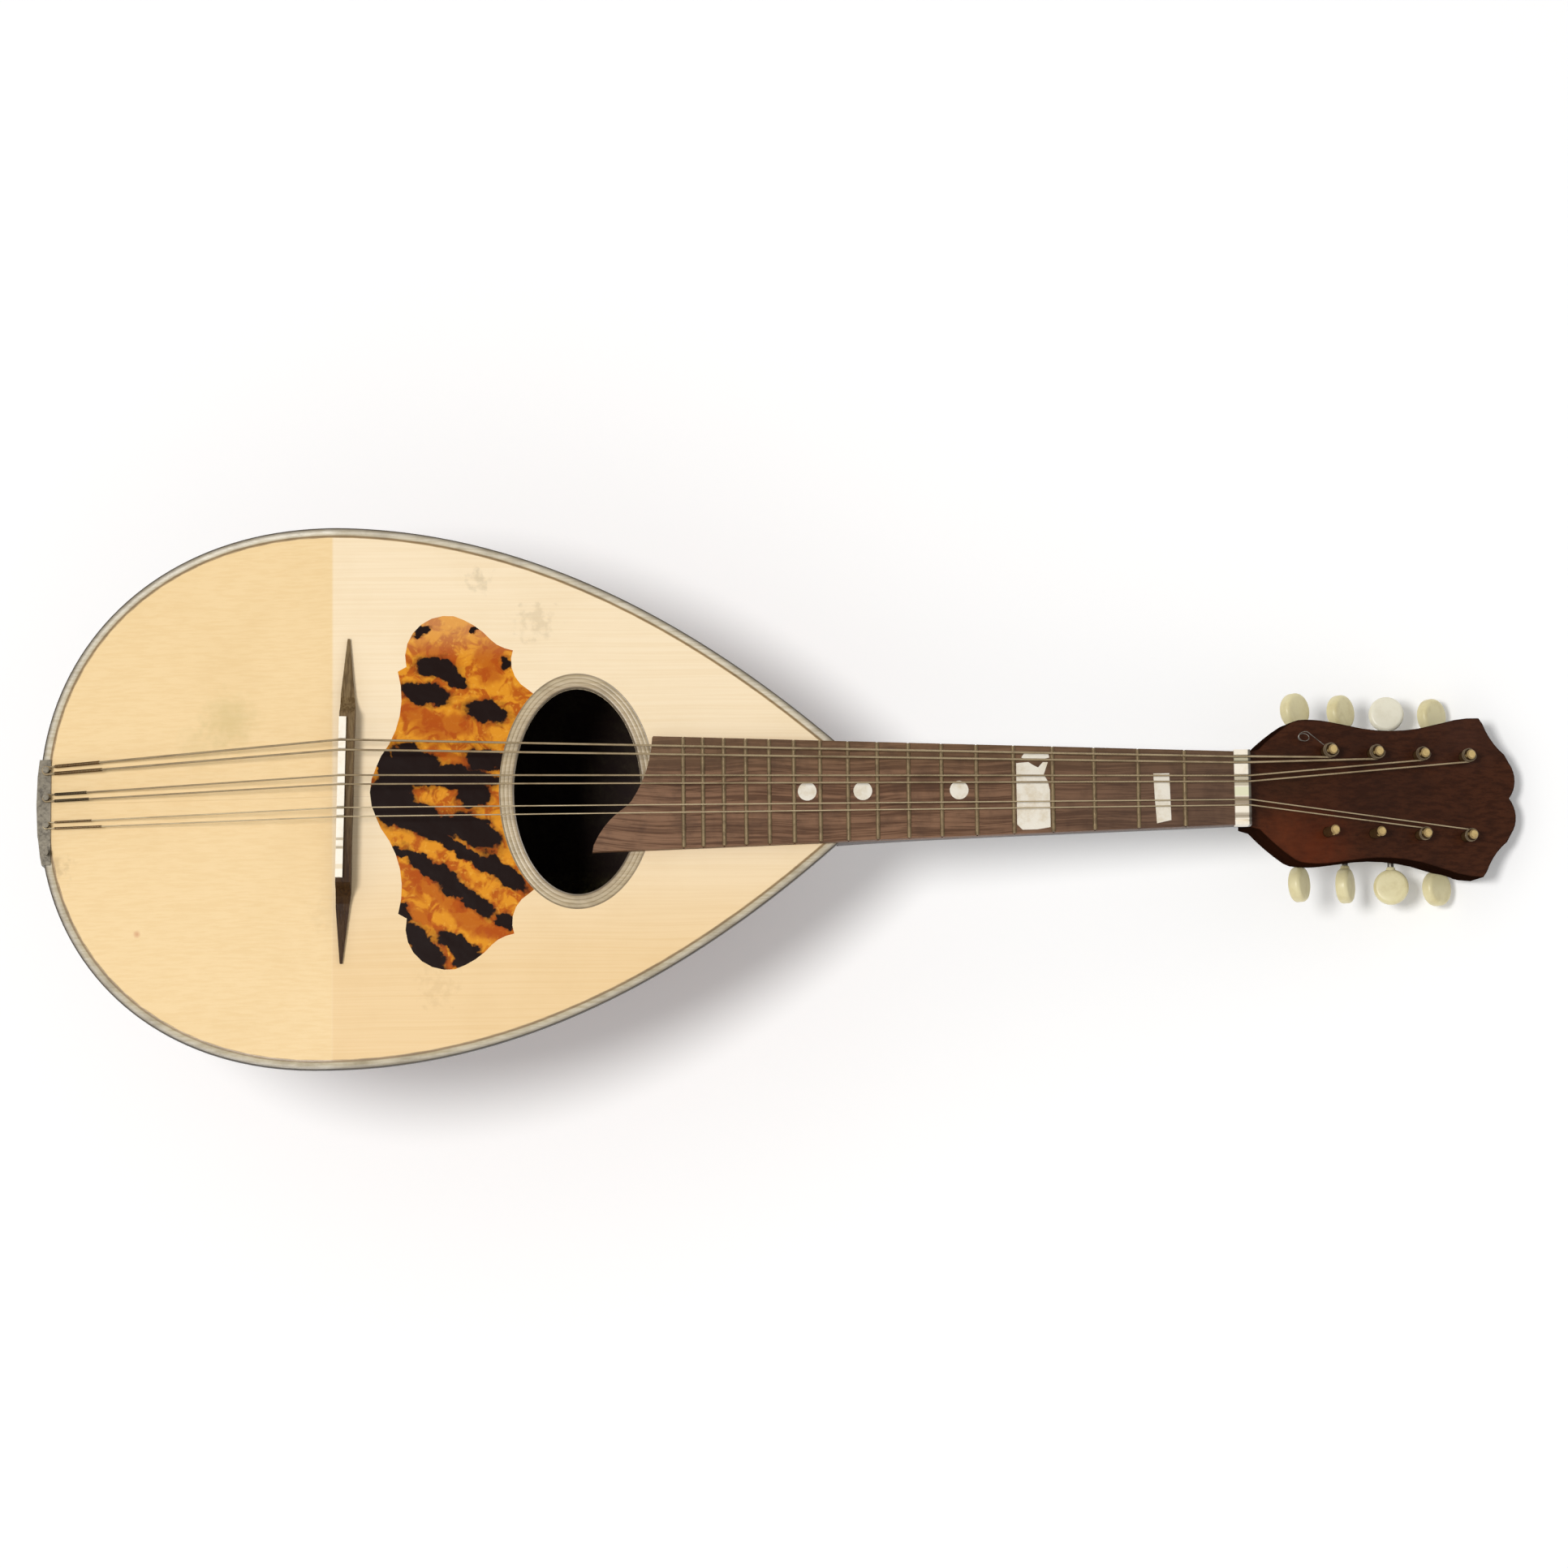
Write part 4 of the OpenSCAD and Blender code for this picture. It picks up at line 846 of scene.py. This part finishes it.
def pathObject(name, paths):
    # an edge chain for each path, already on the table's axes
    mesh = bpy.data.meshes.new(name)
    points, edges = [], []
    for path in paths:
        start = len(points)
        points += [rowPoint(p) for p in path]
        edges += [(start + k, start + k + 1) for k in range(len(path) - 1)]
    mesh.from_pydata(points, edges, [])
    return addObject(name, mesh)


def makeWireTree():
    tree, given, out = newTree("wireOnPath", [
        ("Radius", "Float", 0.0005), ("Sides", "Int", 10),
        ("Material", "Material", None)])
    curve = addNode(tree, "GeometryNodeMeshToCurve", {"Mesh": given.outputs["Geometry"]}).outputs[0]
    length = addNode(tree, "GeometryNodeSplineParameter").outputs["Length"]
    millimetres = addNode(tree, "ShaderNodeMath", {0: length, 1: 1000.0}, operation="MULTIPLY").outputs[0]
    stored = addNode(tree, "GeometryNodeStoreNamedAttribute",
                     {"Geometry": curve, "Name": "along", "Value": millimetres},
                     data_type="FLOAT", domain="POINT").outputs[0]
    ring = addNode(tree, "GeometryNodeCurvePrimitiveCircle",
                   {"Resolution": given.outputs["Sides"], "Radius": given.outputs["Radius"]}).outputs[0]
    wire = addNode(tree, "GeometryNodeCurveToMesh",
                   {"Curve": stored, "Profile Curve": ring, "Fill Caps": True})
    return closeTree(tree, wire.outputs[0], given, out)


def makeWrapTree():
    # close turns of wire round a path
    tree, given, out = newTree("wireTurns", [
        ("Step", "Float", 0.0007), ("Turn Radius", "Float", 0.0007),
        ("Wire Radius", "Float", 0.0003), ("Lean", "Float", 0.35),
        ("Material", "Material", None)])
    curve = addNode(tree, "GeometryNodeMeshToCurve", {"Mesh": given.outputs["Geometry"]}).outputs[0]
    points = addNode(tree, "GeometryNodeCurveToPoints", {"Curve": curve, "Length": given.outputs["Step"]},
                     mode="LENGTH")
    big = addNode(tree, "GeometryNodeCurvePrimitiveCircle",
                  {"Resolution": 12, "Radius": given.outputs["Turn Radius"]}).outputs[0]
    small = addNode(tree, "GeometryNodeCurvePrimitiveCircle",
                    {"Resolution": 6, "Radius": given.outputs["Wire Radius"]}).outputs[0]
    hoop = addNode(tree, "GeometryNodeCurveToMesh", {"Curve": big, "Profile Curve": small}).outputs[0]
    lean = addNode(tree, "FunctionNodeRotateRotation",
                   {"Rotation": points.outputs["Rotation"]}, rotation_space="LOCAL")
    euler = addNode(tree, "ShaderNodeCombineXYZ", {0: given.outputs["Lean"]}).outputs[0]
    asTurn = addNode(tree, "FunctionNodeEulerToRotation", {0: euler}).outputs[0]
    tree.links.new(asTurn, lean.inputs["Rotate By"])
    placed = addNode(tree, "GeometryNodeInstanceOnPoints",
                     {"Points": points.outputs[0], "Instance": hoop, "Rotation": lean.outputs[0]})
    smooth = addNode(tree, "GeometryNodeSetShadeSmooth", {"Geometry": placed.outputs[0]})
    return closeTree(tree, smooth.outputs[0], given, out)


wireTree = makeWireTree()
wrapTree = makeWrapTree()


# Body pieces

bowl = {"tailSteps": 30, "midSteps": 8, "farSteps": 36, "seamBevel": 0.12, "columns": [0, 0.03, 0.5, 0.97, 1],
        "tones": [0.2, 0.7, 0.1, 0.5, 0.9, 0.3, 0.6, 0.0, 0.8, 0.4, 0.15, 0.75, 0.35, 0.55, 0.25]}


def bowlStations():
    angle0, flat = body["tailOpening"], body["restFlat"] / 2
    low, high = rest["contactX"] - flat, rest["contactX"] + flat
    xs = [tailX(mix(angle0, 90, (i / bowl["tailSteps"]) ** 1.1), body["ribInset"])
          for i in range(bowl["tailSteps"] + 1)]
    xs += [mix(body["wideX"], low, i / bowl["midSteps"]) for i in range(1, bowl["midSteps"] + 1)]
    xs += [mix(high, body["length"], i / bowl["farSteps"]) for i in range(bowl["farSteps"] + 1)]
    return xs


def ribShells():
    xs = bowlStations()
    step = 180 / body["ribs"]
    points, faces, across, along, slots = [], [], [], [], []
    cols = bowl["columns"]
    sides = len(cols) + 3
    for rib in range(body["ribs"]):
        a, b = 90 - step * rib, 90 - step * (rib + 1)
        start = len(points)
        for x in xs:
            outer = [skinPoint(x, a, 0), skinPoint(x, b, 0)]
            inner = [skinPoint(x, a, body["ribThickness"]), skinPoint(x, b, body["ribThickness"])]
            down = (inner[0] + inner[1] - outer[0] - outer[1]).normalized()
            for k in cols:
                sink = bowl["seamBevel"] if k in (0, 1) else 0.0
                points.append(outer[0].lerp(outer[1], k) + down * sink)
                across.append(k)
            for k in (1, 0.5, 0):
                points.append(inner[0].lerp(inner[1], k))
                across.append(0.5)
            along += [bowl["tones"][rib]] * sides
        made = loftFaces(len(xs), sides)
        faces += [tuple(start + v for v in f) for f in made]
        inside = set(range(len(cols), len(cols) + 2))
        slots += [1 if k < len(made) - 2 and k % sides in inside else 0 for k in range(len(made))]
    piece = meshPiece("ribShells", points, faces, [finish["ribs"], finish["lining"]], across, along,
                      slots, 30)
    return finishPiece(piece, "instrument", "rosewood_ribs", "bowl_ribs")


def outlineLoop(inset, tailSteps=40, shoulderSteps=60):
    half = []
    for i in range(tailSteps + 1):
        x = tailX(90 * i / tailSteps, inset)
        half.append((x, edgeHalf(x, inset) if i else 0.0))
    for i in range(1, shoulderSteps + 1):
        x = mix(body["wideX"], body["length"], i / shoulderSteps)
        half.append((x, edgeHalf(x, inset)))
    return [(x, -y) for x, y in reversed(half[1:])] + half


def bindingStrip():
    width = body["bindingWidth"]
    # inset and height of the section's corners, from the outer foot over the top to the inner foot
    section = [(0, -boardT), (0, -0.35), (0.12, -0.1), (0.4, 0), (0.78, 0), (0.8, -0.06), (0.86, 0),
               (width * 0.76, 0), (width * 0.78, -0.05), (width * 0.84, 0), (width, 0), (width, -boardT)]
    loops = [outlineLoop(inset) for inset, z in section]
    count = len(loops[0])
    points, across = [], []
    for k in range(count):
        for (inset, z), loop in zip(section, loops):
            x, y = loop[k]
            points.append((x, y, rimZ(x) + z))
            across.append(inset / width)
    faces = loftFaces(count, len(section))
    piece = meshPiece("bindingStrip", points, faces, [finish["binding"]], across)
    return finishPiece(piece, "instrument", "binding", "rim_binding")


rosette = {"x": 202.5, "y": 1.5, "a": 23.8, "b": 39, "width": 5.6, "depth": 1.2, "steps": 180}


def rosetteRings():
    grooves = [0.1, 0.36, 0.4, 0.64, 0.68, 0.9]
    section = [(0, -rosette["depth"]), (0, 0)]
    for g in grooves:
        section += [(g - 0.015, 0), (g, -0.05), (g + 0.015, 0)]
    section += [(1, 0), (1, -rosette["depth"])]
    points, across = [], []
    for i in range(rosette["steps"]):
        t = 2 * math.pi * i / rosette["steps"]
        for k, z in section:
            grow = k * rosette["width"]
            points.append((rosette["x"] + (rosette["a"] + grow) * math.cos(t),
                           rosette["y"] + (rosette["b"] + grow) * math.sin(t), z))
            across.append(k)
    faces = gridFaces(rosette["steps"], len(section), True, True)
    piece = meshPiece("rosetteRings", points, faces, [finish["rosette"]], across)
    return finishPiece(piece, "instrument", "rosette", "rosette_ring")


def neckDepth(x):
    straight = neck["depth"] + neck["deepening"] * (neck["nutX"] - x) / (neck["nutX"] - body["length"])
    rise = max(0.0, 1 - (x - body["length"]) / neck["heelLength"]) ** 2.2
    return straight + (body["heelDepth"] + 0.4 - neck["depth"] - neck["deepening"]) * rise


def neckShaft():
    rings, segments = 48, 28
    blendX = headX - neck["headBlend"]
    points = []

    def ring(x, depth, tilt):
        half = boardWidth(min(x, neck["nutX"])) / 2
        points.append((x, half, 0))
        for j in range(segments + 1):
            t = math.pi * j / segments
            z = -boardT - (depth - boardT) * math.sin(t)
            points.append((x + z * tilt, half * math.cos(t), z))
        points.append((x, -half, 0))

    for i in range(rings + 1):
        x = mix(body["length"], blendX, (i / rings) ** 1.4)
        ring(x, neckDepth(x), 0)
    for k in (0.25, 0.5, 0.75, 1):
        x = mix(blendX, headX, k)
        depth = mix(neckDepth(blendX), head["thickness"] * math.cos(rake), k)
        ring(x, depth, math.tan(rake) * k)
    faces = loftFaces(rings + 5, segments + 3)
    piece = meshPiece("neckShaft", points, faces, [finish["neck"]], sharp=50)
    return finishPiece(piece, "instrument", "mahogany", "neck")


ribShells()
bindingStrip()
rosetteRings()
neckShaft()
for name, node, material, slotName, sharp in (("claspCap", "tail_clasp", "clasp", "mahogany", 40),
                                              ("tailPlate", "tailpiece", "nickel", "nickel", 30)):
    finishPiece(copyOfNode(name, node, [finish[material]], sharp), "instrument", slotName, node)
print("stage: body pieces made")


# Buttons: a turned disc with a soft edge and a short neck

def buttonPiece(i):
    radius, half, soft = machine["buttonRadius"], machine["buttonThickness"] / 2, 1.5
    profile = [(0, -half), (radius * 0.55, -half)]
    profile += [(radius - soft + soft * math.sin(t), -half + soft - soft * math.cos(t))
                for t in [math.pi / 2 * k / 6 for k in range(7)]]
    profile += [(r, -z) for r, z in reversed(profile[1:])]
    sides = 48
    points = [(0, 0, -half)]
    for r, z in profile[1:]:
        points += [(r * math.cos(2 * math.pi * k / sides), r * math.sin(2 * math.pi * k / sides), z)
                   for k in range(sides)]
    points.append((0, 0, half))
    rings = len(profile) - 1
    faces = [(0, 1 + (k + 1) % sides, 1 + k) for k in range(sides)]
    faces += [tuple(v + 1 for v in f) for f in gridFaces(rings, sides, closedColumns=True)]
    last = len(points) - 1
    faces += [(last, last - sides + k, last - sides + (k + 1) % sides) for k in range(sides)]
    collar = [(1.9, 3.0), (1.9, radius - 0.5), (1.7, radius + 0.4), (1.55, radius + 0.8),
              (1.15, radius + 1.0), (0.2, radius + 1.0)]
    start = len(points)
    for r, away in collar:
        points += [(r * math.cos(2 * math.pi * k / 24), -away, r * math.sin(2 * math.pi * k / 24))
                   for k in range(24)]
    faces += [tuple(start + v for v in f) for f in loftFaces(len(collar), 24)]
    turn = Matrix.Rotation(0 if row(i) > 0 else math.pi, 3, "Z") @ \
        Matrix.Rotation(math.radians(machine["turns"][i - 1]), 3, "Y")
    placed = []
    for p in points:
        q = turn @ Vector(p)
        placed.append(headPoint(wormU(i) + q.x, row(i) * machine["buttonV"] + q.y, wormH + q.z))
    # the painted-light copy of the ivory goes on one button
    tone = finish["litIvory" if i == machine["litButton"] else "ivory"]
    piece = meshPiece(f"ivoryButton{i}", placed, faces, [tone], sharp=60)
    return finishPiece(piece, f"worm_{i}", "ivory_button", f"button_{i}")


for i in range(1, 9):
    buttonPiece(i)
print("stage: buttons made")


# Strings

strings = {
    "names": ["g_string_1", "g_string_2", "d_string_1", "d_string_2", "a_string_1", "a_string_2"],
    "radius": [0.5, 0.4, 0.3], "posts": [1, 2, 3, 4, 8, 7],
    "saddleX": 114.6, "saddleZ": 11.2, "nutZ": 5.6,
    "saddleY": [19.9, 16.1, 6.5, 3.1, -5.7, -9.1], "nutY": [11.6, 9.4, 4.4, 2.2, -4.7, -6.8],
    "thin": 0.8,
    "turns": 2.2, "windGap": 0.5, "bend": 0.32, "gap": 0.1,
    "hookX": 3, "hookRadius": 0.8, "hookStep": 10.4, "tailY": -3, "metal": 0.9,
    "twistFrom": 3.5, "twistLength": [17, 18, 12, 13, 14, 18],
}
wrap = {"step": 0.00045, "clear": 0.00004, "wire": 0.00014, "lean": 0.4}     # metres, and radians


def windPath(k):
    i, r0 = strings["posts"][k], strings["radius"][k // 2]
    r = head["postRadius"] + strings["gap"] + r0
    exitAt = Vector((-strings["nutZ"] * math.sin(rake), row(i) * strings["nutY"][k]))
    d = Vector((postU(i), head["postV"])) - exitAt
    a0 = math.degrees(math.atan2(d.y, d.x)) - math.degrees(math.asin(r / d.length)) - 90
    a1 = a0 + 360 * strings["turns"]
    b = strings["bend"] + r0
    bend = math.degrees(math.asin(b / (r - b)))
    low = head["boreHeight"] - (2 * r0 + strings["windGap"]) * strings["turns"]
    c = Vector((postU(i), head["postV"]))
    steps = int(strings["turns"] * 40)
    path = []
    for j in range(steps + 1):
        t = math.radians(mix(a0, a1, j / steps))
        h = mix(low, head["boreHeight"], j / steps)
        path.append((c.x + r * math.cos(t), c.y + r * math.sin(t), h))
    f = c + Vector((math.cos(math.radians(a1)), math.sin(math.radians(a1)))) * (r - b)
    for j in range(1, 9):
        t = math.radians(a1 + (90 + bend) * j / 8)
        path.append((f.x + b * math.cos(t), f.y + b * math.sin(t), head["boreHeight"]))
    e = math.radians(a1 + bend)
    path.append((c.x - 0.9 * math.cos(e), c.y - 0.9 * math.sin(e), head["boreHeight"]))
    return [headPoint(u, row(i) * v, h) for u, v, h in path]


def eyePath(k):
    r0 = strings["radius"][k // 2]
    e = 1 if k % 2 == 0 else -1
    er = strings["hookRadius"] + strings["gap"] + r0
    z = rimZ(strings["hookX"]) + strings["metal"] + r0 + 0.3 + (k % 2) * (2 * r0 + 0.3)
    y = strings["tailY"] + strings["hookStep"] * (1.5 - k // 2)
    return [Vector((strings["hookX"] + er * math.cos(math.radians(90 + a)),
                    y + e * er * math.sin(math.radians(90 + a)), z)) for a in range(0, 266, 9)]


def stringPath(k):
    overNut = [(x, strings["nutY"][k], strings["nutZ"]) for x in (headX, neck["nutX"])]
    overSaddle = [(strings["saddleX"], strings["saddleY"][k], strings["saddleZ"])]
    return [Vector(p) for p in list(reversed(windPath(k))) + overNut + overSaddle] + eyePath(k)


def stringPieces():
    for k, name in enumerate(strings["names"]):
        radius = strings["radius"][k // 2] * 0.001
        wire = finish["wound"] if k < 4 else finish["plain"]
        source = pathObject(name + "Path", [stringPath(k)])
        piece = bakedPiece(f"wire{k + 1}", source, wireTree, {
            "Radius": radius * strings["thin"], "Sides": 10, "Material": wire})
        piece.data.shade_smooth()
        finishPiece(piece, "instrument", "wound_string" if k < 4 else "plain_string", name)
        eye = eyePath(k)[0]
        saddle = Vector((strings["saddleX"], strings["saddleY"][k], strings["saddleZ"]))
        span = (saddle - eye).normalized()
        first, length = strings["twistFrom"], strings["twistLength"][k]
        twist = [eye + span * first, eye + span * (first + length)]
        source = pathObject(name + "Twist", [twist])
        wraps = bakedPiece(f"loopTwist{k + 1}", source, wrapTree, {
            "Step": wrap["step"], "Turn Radius": radius + wrap["clear"], "Wire Radius": wrap["wire"],
            "Lean": wrap["lean"],
            "Material": finish["twistDark" if k in (2, 3) else "twistBrown"]})
        finishPiece(wraps, "instrument", "plain_string")


# Loose wire ends that curl beside a post: start, centre and radius of each curl, across the head

curls = {"ends": [((29.0, 17.2), (21.5, 20.2), 2.6)],
         "low": 1.2, "high": 4.4, "turns": 1.6, "shrink": 0.35, "flatten": 0.7, "wire": 0.00016, "steps": 48}


def looseCurls():
    paths = []
    for start, centre, radius in curls["ends"]:
        first = math.atan2(start[1] - centre[1], start[0] - centre[0]) + math.pi / 2
        path = [headPoint(start[0], start[1], curls["high"])]
        for j in range(curls["steps"] + 1):
            k = j / curls["steps"]
            t = first + 2 * math.pi * curls["turns"] * k
            r = radius * (1 - curls["shrink"] * k)
            path.append(headPoint(centre[0] + r * math.cos(t), centre[1] + curls["flatten"] * r * math.sin(t),
                                  mix(curls["high"], curls["low"], k)))
        paths.append(path)
    piece = bakedPiece("looseCurls", pathObject("curlPaths", paths), wireTree,
                       {"Radius": curls["wire"], "Sides": 8, "Material": finish["steel"]})
    piece.data.shade_smooth()
    return finishPiece(piece, "instrument", "plain_string")


stringPieces()
looseCurls()
print("stage: strings made")


# Finishes on the CAD nodes that stay

def dress(node, material):
    mesh = nodes[node].data
    mesh.materials.clear()
    mesh.materials.append(material)


staying = {
    "soundboard": "spruce", "pickguard": "guard", "soundboard_braces": "inner", "lining_strips": "inner",
    "tail_block": "inner", "neck_block": "inner", "headstock": "head", "fretboard": "fretboard",
    "frets": "fretBrass", "position_markers": "pearl", "nut": "nut", "bridge_base": "bridge",
    "bridge_saddle": "bone", "tailpiece_screws": "steel", "tuner_plates": "nickel", "plate_screws": "steel",
}
for node, name in staying.items():
    dress(node, finish[name])
for i in range(1, 9):
    dress(f"worm_shaft_{i}", finish["steel"])
    dress(f"post_{i}", finish["postTip"])
    dress(f"gear_{i}", finish["brass"])


# Floor, light and camera

stage = {"floorSize": 8.0, "floorTone": (250, 250, 250), "floorGlow": 0.12, "keyPower": 34.0, "keySize": 0.62,
         "keyAt": (-0.14, -0.1, 2.55), "keyColour": (1.0, 0.99, 0.975), "fillPower": 4.0, "fillSize": 2.5,
         "fillAt": (0.5, -0.9, 2.2), "aim": (0.1, 0, 0.1), "world": 0.5, "zenith": 0.18,
         "ceiling": (0.8, 0.95)}
# the place, turns and focal length found from the photograph, on the instrument's own axes
photoView = {"place": (226.41, -301.07, 2000.0), "turns": (-0.15136, -0.02486, 0.01221),
             "focal": 6653.6, "width": 1932, "sensor": 36}


def makeFloor():
    size = stage["floorSize"]
    mesh = bpy.data.meshes.new("paleFloor")
    corners = [(-size, -size, 0), (size, -size, 0), (size, size, 0), (-size, size, 0)]
    mesh.from_pydata(corners, [], [(0, 1, 2, 3)])
    material, tree, shader = newMaterial("paleFloorPaint", 0.9, specular=0.0)
    cloud = addNode(tree, "ShaderNodeTexNoise", {"Scale": 3.0, "Detail": 2.0}).outputs[0]
    patch = fadeNode(tree, cloud, 0.4, 0.7, 0.0, 0.1)
    tone = mixColour(tree, patch, srgb(*stage["floorTone"]), srgb(248, 248, 248))
    feed(tree, tone, shader, "Base Color")
    shader.inputs["Emission Color"].default_value = (1, 1, 1, 1)
    shader.inputs["Emission Strength"].default_value = stage["floorGlow"]
    mesh.materials.append(material)
    addObject("paleFloor", mesh)


def areaLight(name, place, power, size, colour=(1, 1, 1)):
    data = bpy.data.lights.new(name, "AREA")
    data.shape = "DISK"
    data.size = size
    data.energy = power
    data.color = colour
    lamp = addObject(name, data)
    lamp.location = place
    lamp.rotation_euler = (Vector(stage["aim"]) - Vector(place)).to_track_quat("-Z", "Y").to_euler()


def makeCamera():
    turns = [Matrix.Rotation(angle * side, 3, axis)
             for angle, side, axis in zip(photoView["turns"], (1, -1, 1), "XYZ")]
    toCamera = turns[0] @ turns[1] @ turns[2]
    data = bpy.data.cameras.new("photoCamera")
    data.sensor_width = photoView["sensor"]
    data.lens = photoView["focal"] * photoView["sensor"] / photoView["width"]
    data.clip_end = 50
    camera = addObject("photoCamera", data)
    place = Matrix.Translation(rowPoint(photoView["place"]))
    camera.matrix_world = place @ (restTurn @ toCamera.transposed()).to_4x4()
    bpy.context.scene.camera = camera


makeFloor()
areaLight("keyLight", stage["keyAt"], stage["keyPower"], stage["keySize"], stage["keyColour"])
areaLight("fillLight", stage["fillAt"], stage["fillPower"], stage["fillSize"])
makeCamera()
world = bpy.data.worlds.new("studioWorld")
world.use_nodes = True
skyTree = world.node_tree
skyPlace = addNode(skyTree, "ShaderNodeTexCoord").outputs["Generated"]
skyUp = axesOf(skyTree, skyPlace)[2]
skyFade = fadeNode(skyTree, skyUp, *stage["ceiling"], stage["world"], stage["zenith"])     # a dark ceiling
skyTree.links.new(skyFade, skyTree.nodes["Background"].inputs["Strength"])
skyTree.nodes["Background"].inputs["Color"].default_value = (1, 1, 1, 1)
bpy.context.scene.world = world
bpy.context.scene.view_settings.view_transform = "Standard"
print("stage: floor, light and camera set")
